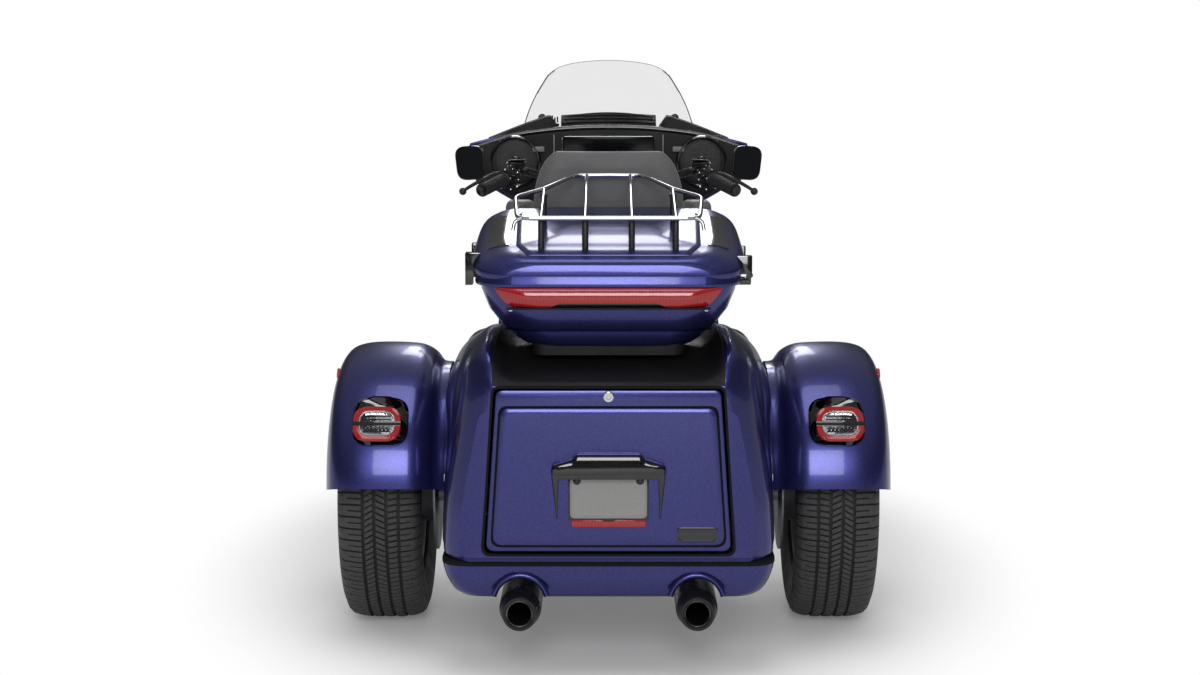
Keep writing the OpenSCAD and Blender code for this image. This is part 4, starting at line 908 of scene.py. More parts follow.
def fenders():
    right = rear_fender()
    left = mirrored(right)
    right.name, left.name = "fender_shell_right", "fender_shell_left"
    place(right, "rear_fender_right", angle=40)
    place(left, "rear_fender_left", angle=40)
    marker = block("marker", (679.5, -802, 654), (9, 34, 13), 3, 3, (23, 0, -3))
    twin = mirrored(marker)
    marker.name, twin.name = "side_marker_right", "side_marker_left"
    add(marker, "rear_fender_right", "red_lens", slot="red_lens")
    add(twin, "rear_fender_left", "red_lens", slot="red_lens")


fenders()


def on_crown(piece, angle):
    """From a place square to the fender's crown to its real place."""
    turn = Matrix.Translation((0, AXLE_Y / 1000, AXLE_Z / 1000)) @ Matrix.Rotation(
        math.radians(angle - 90), 4, "X")
    piece.data.transform(turn)
    return piece


def frame_ring(w, h, r, z, dx=0, dy=0, steps=8):
    ring = rounded([(w / 2, -h / 2), (w / 2, h / 2), (-w / 2, h / 2), (-w / 2, -h / 2)],
                   [r] * 4, steps)
    return [(p[0] + dx, p[1] + dy, z) for p in ring]


LAMP_X = 554
LAMP_ANGLE = 145.5
SEAT_Z = 427


def tail_lamps():
    z = SEAT_Z
    # Black housing with a visor above and towards the middle
    shell = loft("housing", [frame_ring(134, 126, 46, z, LAMP_X),
                             frame_ring(136, 128, 46, z + 4, LAMP_X),
                             frame_ring(132, 124, 46, z + 13, LAMP_X, 1, 1),
                             frame_ring(126, 118, 44, z + 18, LAMP_X, 2, 2),
                             frame_ring(116, 108, 42, z + 20, LAMP_X, 2, 2)])
    shell = on_crown(shell, LAMP_ANGLE)
    place(pair("lamp_housings", shell), "tail_lamps", "gloss_black", angle=35,
          slot="black_plastic")
    dx, dy = LAMP_X + 7, -14

    def band(name, rings, skin, slot="red_lens"):
        piece = on_crown(loft(name, rings, caps=True), LAMP_ANGLE)
        return add(pair(name, piece), "tail_lamps", skin, angle=40, slot=slot)

    # Red ring: a raised rounded loop
    outer = [frame_ring(116, 92, 38, z + 16, dx, dy), frame_ring(116, 92, 38, z + 20, dx, dy),
             frame_ring(112, 88, 37, z + 22, dx, dy), frame_ring(92, 68, 28, z + 22, dx, dy),
             frame_ring(86, 62, 25, z + 20.5, dx, dy), frame_ring(84, 60, 25, z + 16, dx, dy)]
    ring = loft("lens", outer + [outer[0]], caps=False)
    gap = block("gap", (dx, dy, z + 20), (140, 9, 20), 0)
    carve(ring, gap)
    add(pair("lens_rings", on_crown(ring, LAMP_ANGLE)), "tail_lamps", "red_lens", angle=40,
        slot="red_lens")
    # Thin bright edge round the window, reflector bars behind it, black bar across
    edge = [frame_ring(87, 63, 26, z + 19, dx, dy), frame_ring(87, 63, 26, z + 21.8, dx, dy),
            frame_ring(81, 57, 23, z + 21.8, dx, dy), frame_ring(80, 56, 23, z + 17, dx, dy)]
    trim = on_crown(loft("trim", edge + [edge[0]], caps=False), LAMP_ANGLE)
    add(pair("lens_trims", trim), "tail_lamps", "lamp_glass", angle=40, slot="red_lens")
    bowl = loft("bowl", [frame_ring(84, 60, 25, z + 12, dx, dy),
                         frame_ring(84, 60, 25, z + 17, dx, dy)])
    add(pair("lamp_beds", on_crown(bowl, LAMP_ANGLE)), "tail_lamps", "lamp_glass", angle=30,
        slot="red_lens")
    bars = [block("bar", (dx, dy + k, z + 18), (66, 6, 4), 1.2) for k in (-20, -12, 12, 20)]
    bars += [block("cell", (dx - 27 + 9 * i, dy - 16, z + 19.6), (6, 14, 3),
                   0.8) for i in range(7)]
    bars = on_crown(joined("bars", bars), LAMP_ANGLE)
    add(pair("lamp_cells", bars), "tail_lamps", "gloss_black", angle=30, slot="black_plastic")
    across = block("across", (dx, dy, z + 20), (118, 13, 4.5), 1.5)
    add(pair("lamp_bars", on_crown(across, LAMP_ANGLE)), "tail_lamps", "gloss_black", angle=30,
        slot="black_plastic")


tail_lamps()


# ---- Top case, light bar, lid and rack ----

CASE_REAR = -1262
CASE_FRONT = -792


def plan(w, y0, y1, corner, z, steps=10):
    ring = rounded([(w, y0), (w, y1), (-w, y1), (-w, y0)],
                   [corner, corner * 0.6, corner * 0.6, corner], steps)
    return [(p[0], p[1], z) for p in ring]


def top_case_base():
    rows = [[812, 239, CASE_REAR + 52, CASE_FRONT - 12], [822, 251, CASE_REAR + 42, CASE_FRONT - 6],
            [862, 280.5, CASE_REAR + 24, CASE_FRONT - 2], [910, 298, CASE_REAR + 8, CASE_FRONT],
            [930, 300, CASE_REAR + 6, CASE_FRONT]]
    shell = loft("case_shell", [plan(w, a, b, 110, z) for z, w, a, b in rows])
    inner = loft("inside", [plan(w - 8, a + 8, b - 8, 104, z + (5 if z == 930 else 0))
                            for z, w, a, b in rows[1:]])
    carve(shell, inner, block("step", (0, CASE_REAR - 15, 898.5), (540, 50, 49), 0))
    soften(shell, 0.003, 3, 35)
    place(shell, "top_case_base", angle=35)
    # Rounded keel under the case, round its mounting block
    keel = catmull([[776, 188, CASE_REAR + 74, CASE_FRONT - 70],
                    [780, 200, CASE_REAR + 68, CASE_FRONT - 60],
                    [796, 222, CASE_REAR + 58, CASE_FRONT - 40],
                    [813, 240, CASE_REAR + 51, CASE_FRONT - 20]], 3)
    add(loft("case_keel", [plan(w, a, b, 90, z) for z, w, a, b in keel]), "top_case_base",
        angle=40)
    bolts = [turned("bolt", [(0.1, -3.5), (3, -3.5), (4.5, -2.5), (5, 0), (5, 6), (0.1, 6)],
                    (x, CASE_REAR + 18, 868), "Y", 20) for x in (-226, 226)]
    add(joined("case_bolts", bolts), "top_case_base", "chrome_steel", angle=30,
        slot="chrome_steel")


def light_bar():
    def ring(w, reach, z):
        outline = rounded([(w, CASE_REAR + 9.6), (-w, CASE_REAR + 9.6), (-w, CASE_REAR + 6),
                           (-w + 46, CASE_REAR + reach), (w - 46, CASE_REAR + reach),
                           (w, CASE_REAR + 6)], [1, 1, 3, 60, 60, 3], 10)
        return [(p[0], p[1], z) for p in outline]

    rows = catmull([[875, 214, -4], [881, 232, -15], [898, 250, -20], [915, 260, -17],
                    [921, 262, -6]], 3)
    lens = loft("lens", [ring(w, reach, z) for z, w, reach in rows])
    wedge = loft("wedge", [[(-150, y, 870), (150, y, 870), (112, y, 886.5), (-112, y, 886.5)]
                           for y in (-1300, -1240)])
    lip, keep = copied(lens), copied(wedge)
    carve(lens, wedge)
    carve(lip, keep, operation="INTERSECT")
    lens.name, lip.name = "light_bar_lens", "light_bar_lip"
    place(lens, "light_bar", "red_lens", angle=40)
    add(lip, "light_bar", "gloss_black", angle=40, slot="black_plastic")
    under = block("light_bar_tray", (0, CASE_REAR + 2, 872.4), (470, 15, 4.5), 1.2)
    add(under, "light_bar", "black_plastic", angle=40, slot="black_plastic")


LID = catmull([[CASE_REAR, 232, 962, 972], [CASE_REAR + 8, 262, 966, 984],
               [CASE_REAR + 30, 294, 974, 994], [CASE_REAR + 70, 312, 985, 1004],
               [-1120, 320, 1004, 1021], [-980, 322, 1028, 1048], [-870, 320, 1046, 1068],
               [-830, 310, 1048, 1073], [-805, 290, 1042, 1067], [CASE_FRONT, 262, 1026, 1050]], 5)
LID_Z = 936


def lid_ring(row, inset, steps=6):
    y, w, side, top = row
    half = [(w - 12 - inset, LID_Z - 6 if inset else LID_Z),
            (w - inset, LID_Z + 0.26 * (side - LID_Z)),
            (w + 2 - inset, LID_Z + 0.6 * (side - LID_Z)),
            (w - 14 - inset, side - inset), (w - 62 - inset, top - inset)]
    return [(p[0], y, p[1]) for p in rounded(both_halves(half), twice([4, 16, 30, 34, 26]), steps)]


def case_lid():
    shell = loft("lid_shell", [lid_ring(row, 0) for row in LID])
    rows = [row for row in LID if CASE_REAR + 4 < row[0] < CASE_FRONT - 4]
    inner = []
    for row in rows:
        ring = lid_ring(row, 8)
        shift = 5 if row[0] < -1000 else -5
        inner.append([(x, y + shift, z) for x, y, z in ring])
    carve(shell, loft("inside", inner))
    soften(shell, 0.0025, 3, 50)
    place(shell, "case_lid", angle=45)
    # Rolled lip that laps over the case's rim
    edge = [(row[1] - 11, row[0]) for row in LID if row[0] <= -815]
    path = [Vector((x, y, 0)) for x, y in edge] + [Vector((-x, y, 0)) for x, y in edge[::-1]]
    rings = []
    for i, p in enumerate(path):
        back, on = path[max(i - 1, 0)], path[min(i + 1, len(path) - 1)]
        if i == len(edge) - 1 or i == len(edge):
            back, on = path[len(edge) - 2], path[len(edge) - 1]
            if i == len(edge):
                back, on = path[len(edge)], path[len(edge) + 1]
        out = (on - back).normalized().cross(Vector((0, 0, 1)))
        if out.x * p.x < 0:
            out = -out
        rings.append([p + out * g + Vector((0, 0, z)) for g, z in
                      ((0, 950), (2.2, 946), (3.2, 938), (5.4, 932), (6.2, 927), (5.2, 922.8),
                       (3.0, 922), (0.6, 924), (0, 932))])
    # The two runs meet across the rear
    first, last = rings[:len(edge)][::-1], rings[len(edge):][::-1]
    add(loft("lid_lip", first + last), "case_lid", angle=50)
    # Raised centre field of the lid, with a soft step all round
    field = []
    for row in LID:
        y, _, _, top = row
        if not CASE_REAR + 20 <= y <= -840:
            continue
        t = (y + 1242) / 402
        half = 184 + 29 * min(1, t / 0.18) + 10 * t - 60 * max(0, t - 0.86) / 0.14
        inset = 2 + 3 * min(1, max(0, t) / 0.05) if t < 0.05 else 5
        half_ring = [(half + 2, top - 2), (half, top + 0.4 * inset), (half - 9, top + inset)]
        field.append([(p[0], y, p[1]) for p in rounded(both_halves(half_ring),
                                                      twice([1, 5, 8]), 4)])
    raised = loft("lid_raised_field", field)
    soften(raised, 0.003, 3, 60)
    add(raised, "case_lid", angle=50)
    # Gloss black inlays on both shoulders, laid on the lid's own surface
    bpy.ops.object.select_all(action="DESELECT")
    bpy.ops.mesh.primitive_grid_add(x_subdivisions=14, y_subdivisions=40, size=1)
    inlay = bpy.context.active_object
    for vertex in inlay.data.vertices:
        u, v = vertex.co.x + 0.5, vertex.co.y + 0.5
        low, high = 233 - 2 * v, 281 + 5 * v
        vertex.co = ((low + (high - low) * u) / 1000, (-1168 + 250 * v) / 1000, 1.2)
    modify(inlay, "SHRINKWRAP", target=shell, wrap_method="PROJECT", use_project_z=True,
           use_negative_direction=True, use_positive_direction=False, offset=0.0006,
           project_limit=0.5)
    modify(inlay, "SOLIDIFY", thickness=0.0016, offset=1.0)
    add(pair("lid_inlays", inlay), "case_lid", "gloss_black", angle=40, slot="black_plastic")


def rack_z(y):
    return 1079 + (y + 1236) * 0.176


def luggage_rack():
    def on_rack(x, y, down=0):
        return (x, y, rack_z(y) - down)

    rear = pipe("rear_rail", [on_rack(-182, -1236), on_rack(182, -1236)], 5.5)
    loop = pipe("loop", [on_rack(178, -1236), on_rack(208, -1233), on_rack(213, -1200),
                         on_rack(223, -1036), on_rack(156, -956), on_rack(86, -814),
                         on_rack(0, -810)], 5.3, 24)
    curl = pipe("curl", [on_rack(200, -1236), on_rack(216, -1240, 6), on_rack(220, -1243, 26)],
                4.5, 12)
    bars = [pipe("bar", [on_rack(54, -1236), on_rack(54, -811)], 4.6),
            pipe("bar", [on_rack(156, -1236), on_rack(156, -962)], 4.6)]
    side = pair("side", joined("side", [loop, curl] + bars))
    place(joined("chrome_rack", [rear, side]), "luggage_rack", angle=40)
    feet = []
    for x, y, low in ((156, -1206, 990), (156, -990, 1030), (54, -1206, 1000)):
        feet += [disc("foot", (x, y, low), on_rack(x, y, 3), 7.4, 1, 24),
                 disc("collar", on_rack(x, y, 13), on_rack(x, y, 2), 9.5, 2, 24)]
    feet = pair("rack_feet", joined("feet", feet))
    add(feet, "luggage_rack", "black_steel", angle=40, slot="black_steel")


top_case_base()
light_bar()
case_lid()
luggage_rack()


# ---- Plate holder ----

def plate_holder():
    face = -1298.3

    def slice_of(points, y):
        return [(x, y, z) for x, z in points]

    def housing(grow, y):
        points = rounded([(132 + grow, 496), (132 + grow, 516), (80, 532 + grow),
                          (74, 542 + grow), (-74, 542 + grow), (-80, 532 + grow),
                          (-132 - grow, 516), (-132 - grow, 496)],
                         [6, 26, 14, 10, 10, 14, 26, 6], 6)
        return slice_of(points, y)

    lamp = loft("housing", [housing(0, face), housing(0, face - 26), housing(-4, face - 34),
                            housing(-12, face - 36)])
    lip = loft("lip", [slice_of(rounded([(118, 486), (124, 500), (-124, 500), (-118, 486)],
                                        [4, 6, 6, 4], 4), y) for y in (face, face - 33)])
    back = block("back", (0, face - 2.2, 440), (186, 4.4, 112), 1.4)
    fins = []
    for side in (1, -1):
        fins.append(loft("fin", [[(side * 114, face, 502), (side * 134, face, 502),
                                  (side * 121, face, 388), (side * 118, face, 388)],
                                 [(side * 116, face - 17, 502), (side * 130, face - 17, 502),
                                  (side * 120, face - 4, 392), (side * 119, face - 4, 392)]]))
    piece = joined("plate_lamp_housing", [lamp, lip, back] + fins)
    soften(piece, 0.0012, 2, 40)
    place(piece, "plate_holder", "gloss_black", angle=35)
    # Blank plate with a rolled border
    def plate_ring(grow, y):
        points = rounded([(89 + grow, 381.5 - grow), (89 + grow, 480.5 + grow),
                          (-89 - grow, 480.5 + grow), (-89 - grow, 381.5 - grow)],
                         [12 + grow] * 4, 8)
        return [(x, y, z + 8) for x, z in points]

    plate = loft("blank_plate", [plate_ring(-1, face - 5), plate_ring(0, face - 6),
                                 plate_ring(-1, face - 8), plate_ring(-3.4, face - 8),
                                 plate_ring(-5, face - 6.6)])
    add(plate, "plate_holder", "plate_enamel", angle=35, slot="grey_alloy")
    bolts = [turned("bolt", [(0.1, -5), (4, -5), (6, -3.5), (6.5, -1), (9, 0), (9, 1), (0.1, 1)],
                    (x, face - 8, 478), "Y", 24) for x in (-73, 73)]
    add(joined("plate_bolts", bolts), "plate_holder", "black_steel", angle=30, slot="black_steel")
    tab = block("tab", (0, face - 5, 386.5), (28, 6, 7), 1)
    add(tab, "plate_holder", "black_steel", angle=30, slot="black_steel")
    # Red reflector under the plate: it takes the lens finish's faint red glow, which is painted
    # light on a part that is no lamp
    glow = block("red_reflector", (0, face - 3.4, 377.5), (172, 6.4, 17), 2.2)
    add(glow, "plate_holder", "red_lens", angle=35, slot="red_lens")


plate_holder()


# ---- Tyres ----

def tyre_profile(r, w, bead, crown):
    half = [(w * 0.34 - 0.3, bead), (w * 0.34 - 0.3, bead + 10.6), (w * 0.42, bead + 13),
            (w * 0.47, bead + (r - bead) * 0.34), (w * 0.5, bead + (r - bead) * 0.56),
            (w * 0.485, bead + (r - bead) * 0.8), (w * 0.44, r - 9), (w * 0.36, r - 2.5),
            (w * 0.2, r)]
    return [(a, q - (crown * (a / w * 2) ** 2 if a > w * 0.3 and q > r - 30 else 0))
            for a, q in half]


def tyre(name, centre, r, w, bead, crown, ribs, pitches):
    half = tyre_profile(r, w, bead, crown)
    smooth = [tuple(p) for p in catmull([list(p) for p in half[2:]], 4)]
    outer = half[:2] + smooth

    def crown_at(a):
        a = abs(a)
        for (a0, q0), (a1, q1) in zip(smooth[::-1], smooth[-2::-1]):
            if a0 <= a <= a1 and a1 > a0:
                return q0 + (q1 - q0) * (a - a0) / (a1 - a0)
        return smooth[-1][1]

    edge = ribs["edge"]
    depth = 8.0
    low = [(a, q - (depth if a < edge - 2 and q > r - 40 else 0)) for a, q in outer]
    carcass = turned(name + "_carcass", [(q, a) for a, q in low]
                     + [(q, -a) for a, q in low[::-1]], centre, "X", 120)
    points, faces = [], []

    def blob(a0, a1, t0, t1, skew=0.0):
        """A tread block: part of the pitch t0..t1, across a0..a1, its far end skewed."""
        n = max(2, int(abs(a1 - a0) / 9) + 1)
        base = len(points)
        turn = 2 * math.pi / pitches
        for i in range(n + 1):
            a = a0 + (a1 - a0) * i / n
            lean = skew * i / n
            nip = 0.7 if i in (0, n) else 0.0
            for t, drop in ((t0, depth + 1.5), (t0, 0.7), (t0 + 0.03, 0), (t1 - 0.03, 0),
                            (t1, 0.7), (t1, depth + 1.5)):
                q = crown_at(a) - drop - (nip if drop < 1 else 0)
                angle = (t + lean) * turn
                points.append((a, q, angle))
        for i in range(n):
            for j in range(5):
                k = base + i * 6 + j
                faces.append((k, k + 1, k + 7, k + 6))
        faces.append(tuple(base + j for j in range(6))[::-1])
        faces.append(tuple(base + n * 6 + j for j in range(6)))

    ribs["build"](blob)
    verts, polys = [], []
    for i in range(pitches):
        turn = 2 * math.pi * i / pitches
        base = len(verts)
        for a, q, angle in points:
            verts.append(((centre[0] + a) / 1000, (centre[1] + q * math.cos(angle + turn)) / 1000,
                          (centre[2] + q * math.sin(angle + turn)) / 1000))
        polys += [tuple(base + k for k in face) for face in faces]
    mesh = bpy.data.meshes.new(name)
    mesh.from_pydata(verts, [], polys)
    mesh.validate()
    tread = linked(name, mesh)
    edited(tread, normals_make_consistent={"inside": False})
    return carcass, tread


def car_tread(blob):
    for a0, a1 in ((-102, -55), (102, 41)):
        inner = a0 + (a1 - a0) * 0.45
        blob(a0, inner, 0.07, 0.93)
        blob(inner, a1, 0.07, 0.45, 0.05)
        blob(inner, a1, 0.53, 0.93, 0.05)
    for k in (0, 0.5):
        blob(-47, -25, k + 0.06, k + 0.43, 0.14)
        blob(-17, 5, k + 0.05, k + 0.42, -0.32)
        blob(13, 33, k + 0.05, k + 0.43, 0.36)


def bike_tread(blob):
    blob(-9, 9, 0.03, 0.97, 0.2)
    for side in (1, -1):
        blob(side * 13, side * 36, 0.05, 0.9, 0.5)
        blob(side * 40, side * 60, 0.1, 0.8, 0.3)


def tyres():
    car = {"edge": 103, "build": car_tread}
    bike = {"edge": 62, "build": bike_tread}
    for name, node, centre, r, w, bead, crown, ribs, pitches in (
            ("rear", "rear_tyre_right", (568, AXLE_Y, AXLE_Z), 324, 208, 195, 6, car, 66),
            ("front", "front_tyre", (0, 1010, 320), 320, 130, 208, 26, bike, 36)):
        carcass, tread = tyre(name, centre, r, w, bead, crown, ribs, pitches)
        pairs = [(carcass, tread, node)]
        if name == "rear":
            pairs.append((mirrored(carcass), mirrored(tread), "rear_tyre_left"))
        for body, blocks, where in pairs:
            body.name, blocks.name = where + "_carcass", where + "_tread"
            # The carcass shows at the bottom of the grooves: it takes the darker belt rubber and
            # the blocks the paler tyre rubber, as painted shade in the grooves
            place(body, where, "belt_rubber", angle=32)
            add(blocks, where, "tyre_rubber", angle=32)


tyres()


def rims():
    for node in ("rear_rim_left", "rear_rim_right", "front_rim"):
        piece = merged_copy(node, node + "_cast")
        soften(piece, 0.0015, 2, 35)
        place(piece, node, angle=30)


rims()


def mufflers():
    profile = [(0.1, -645), (24, -640), (26, -646), (34, -668), (45, -694), (49, -704), (49, -1276),
               (48, -1284), (43, -1298), (40, -1304), (40, -1333), (39, -1335), (33, -1335),
               (31.5, -1331), (31.5, -1326), (30, -1324), (28, -1326), (27, -1150), (0.1, -1148)]
    shell = turned("shell", profile, (206, 0, 170), "Y", 72)
    place(pair("muffler_shells", shell), "mufflers", "muffler_black", angle=30)
    ring = turned("ring", [(28.2, -1322), (28.2, -1332), (30, -1333.5), (32.5, -1332),
                           (32.5, -1322)], (206, 0, 170), "Y", 64)
    add(pair("muffler_rings", ring), "mufflers", "pipe_steel", angle=40, slot="chrome_steel")
    # Sooty liner inside the outlet
    liner = turned("liner", [(27.6, -1320), (26.4, -1320), (26, -1160), (0.1, -1158), (0.1, -1150),
                             (27, -1152)], (206, 0, 170), "Y", 48)
    add(pair("muffler_liners", liner), "mufflers", "soot", angle=40, slot="black_steel")
    # Rolled brow of the valance round the top of each outlet
    brow = []
    for k in range(25):
        a = math.radians(12 + 156 * k / 24)
        brow.append((206 + 63 * math.cos(a), -1283, 188 + 62 * math.sin(a)))
    add(pair("outlet_brows", pipe("brow", brow, 7, 10, 2, 5)), "rear_valance", angle=60)


mufflers()


# ---- Front fender ----

FRONT_Y = 1010
FRONT_Z = 320


def front_fender():
    rings = []
    q = 346
    half = [[82.6, q - 84], [81.6, q - 50], [76, q - 24], [62, q - 8], [36, q], [0, q + 2]]
    thin = [[77, q - 84], [76, q - 51], [72, q - 27], [59, q - 12], [35, q - 4], [0, q - 2]]
    outer = catmull(half + [[-x, z] for x, z in half[-2::-1]], 3)
    inner = catmull(thin + [[-x, z] for x, z in thin[-2::-1]], 3)[::-1]
    for k in range(43):
        a = math.radians(20 + 4 * k)
        # The skirts sweep up to the tips at both ends
        tuck = max(0.0, (26 - 4 * k) / 26, (4 * k - 142) / 26)
        ring = []
        for x, z in outer + inner:
            lift = 34 * tuck * tuck * min(1, max(0, (q - 8 - z) / 76))
            ring.append((x, FRONT_Y + (z + lift) * math.cos(a),
                         FRONT_Z + (z + lift) * math.sin(a)))
        rings.append(ring)
    place(loft("front_fender_shell", rings, caps="folded"), "front_fender", angle=40)


front_fender()


# ---- Hand controls ----

GRIP_A = Vector((276, 90, 1104))
GRIP_B = Vector((360, -90, 1068))


def on_grip(t):
    return GRIP_A.lerp(GRIP_B, t)


def along(piece, start, end):
    """Sets a piece made upright at the origin along the line from start to end."""
    a, b = Vector(start) / 1000, Vector(end) / 1000
    turn = Matrix.Translation(a) @ (b - a).to_track_quat("Z", "Y").to_matrix().to_4x4()
    piece.data.transform(turn)
    return piece


def hand_grips():
    length = (on_grip(0.97) - on_grip(0.30)).length
    profile = [(13.2, 0), (21.5, 0.5), (22.5, 2), (22.5, 5), (20.5, 7)]
    z = 8.0
    while z < length - 12:
        profile += [(18.2, z), (18.9, z + 1.2), (18.9, z + 4.4), (18.2, z + 5.6)]
        z += 6.4
    profile += [(19.0, length - 10), (19.0, length - 2), (18.0, length), (13.2, length)]
    rubber = turned("grip", profile + [profile[0]], (0, 0, 0), "Z", 40)
    place(pair("ribbed_grips", along(rubber, on_grip(0.30), on_grip(0.97))), "hand_grips",
          "grip_rubber", angle=40)


def hand_levers():
    # Switch housing: two clamped halves round the bar, with buttons facing the rider
    reach = (on_grip(0.28) - on_grip(0.02)).length
    shell = turned("switch", [(13.5, 0), (24, 0), (26.5, 3), (26.5, reach * 0.46),
                              (25.6, reach * 0.48), (25.6, reach * 0.5), (26.5, reach * 0.52),
                              (26.5, reach - 4), (24, reach), (13.5, reach), (13.5, 0)],
                   (0, 0, 0), "Z", 40)
    shell = along(shell, on_grip(0.02), on_grip(0.28))
    middle = on_grip(0.15)
    pod = block("pod", (middle.x - 2, middle.y - 20, middle.z - 8), (44, 22, 44), 7, 4,
                (20, 0, -22))
    place(pair("switch_housings", joined("switches", [shell, pod])), "hand_levers",
          "black_plastic", angle=35, slot="black_plastic")
    bits = []
    for dx, dz, w, h in ((-12, 12, 9, 6), (1, 13, 9, 6), (13, 10, 7, 8), (-13, -1, 8, 8),
                         (-12, -14, 9, 7), (1, -16, 10, 6), (13, -12, 8, 8), (14, 0, 7, 7)):
        bits.append(block("button", (middle.x - 4 + dx, middle.y - 31 + 0.36 * dx,
                                     middle.z - 8 + dz), (w, 6, h), 1.6, 2, (20, 0, -22)))
    cup = turned("stick", [(0.1, -9), (3.5, -9), (5, -7.5), (5.5, -4), (8.4, -3.4), (8.4, 3),
                           (0.1, 3)], (middle.x - 4, middle.y - 31, middle.z - 8), "Y", 28)
    add(pair("switch_buttons", joined("buttons", bits + [cup])), "hand_levers", "gloss_black",
        angle=35, slot="black_plastic")
    # Fluid reservoir with its lid and two screws, ahead of and above the bar
    box = block("reservoir", (268, 108, 1128), (50, 34, 22), 6, 4, (-14, 0, -14))
    cap = block("reservoir_lid", (268, 107, 1141), (53, 37, 5), 2, 3, (-14, 0, -14))
    neck = disc("clamp", (262, 112, 1122), (258, 104, 1108), 13, 2, 28)
    add(pair("reservoirs", joined("reservoir", [box, cap, neck])), "hand_levers", "gloss_black",
        angle=35, slot="black_plastic")
    screws = [disc("screw", (x, 107, 1142), (x, 107, 1145.5), 3.0, 0.8, 16) for x in (252, 285)]
    screws += [disc("pin", (middle.x + dx, middle.y - 26, middle.z + dz),
                    (middle.x + dx, middle.y - 34, middle.z + dz), r, 0.8, 16)
               for dx, dz, r in ((-28, 14, 2.6), (-26, -26, 3.2), (18, -30, 2.4), (22, 6, 2.8),
                                 (-30, -6, 2.2), (-14, 24, 2.0), (8, 22, 2.2), (-8, -34, 2.6))]
    add(pair("reservoir_screws", joined("screws", screws)), "hand_levers", "chrome_steel", angle=35,
        slot="chrome_steel")
    # Lever: a flattened blade that thins from its pivot and ends in a ball
    path = [Vector(p[:3]) for p in catmull([[282, 122, 1106], [330, 124, 1104], [368, 70, 1088],
                                            [396, 20, 1074], [412, -10, 1064]], 6)]
    rings = []
    for i, p in enumerate(path):
        t = i / (len(path) - 1)
        way = (path[min(i + 1, len(path) - 1)] - path[max(i - 1, 0)]).normalized()
        side = way.cross(Vector((0, 0, 1))).normalized()
        up = side.cross(way).normalized()
        w, h = 8.5 - 3.2 * t, 6.5 - 2.3 * t
        rings.append([p + side * (w * math.cos(a)) + up * (h * math.sin(a))
                      for a in (2 * math.pi * k / 16 for k in range(16))])
    blade = loft("blade", rings)
    ball = turned("ball", [(0.1, -10.6)] + [(10.6 * math.cos(a), 10.6 * math.sin(a))
                                            for a in (math.radians(d) for d in range(-75, 76, 15))]
                  + [(0.1, 10.6)], (415, -16, 1062), "Z", 24)
    pivot = disc("pivot", (284, 122, 1094), (284, 122, 1118), 11, 2, 28)
    add(pair("lever_blades", joined("levers", [blade, ball, pivot])), "hand_levers", "black_alloy",
        angle=40, slot="black_alloy")


hand_grips()
hand_levers()


# ---- Fairing ----

HALF = 430.0


def fairing_front(u):
    return 812 - 250 * u ** 2.2


def fairing_rear(u):
    return 520 - 46 * u ** 2


def fairing_top(u):
    return 1232 - 56 * u ** 2.2


def mix(a, b, t):
    return a + (b - a) * t


def inner_face(x):
    u = min(abs(x) / HALF, 1)
    return fairing_rear(u) - 26


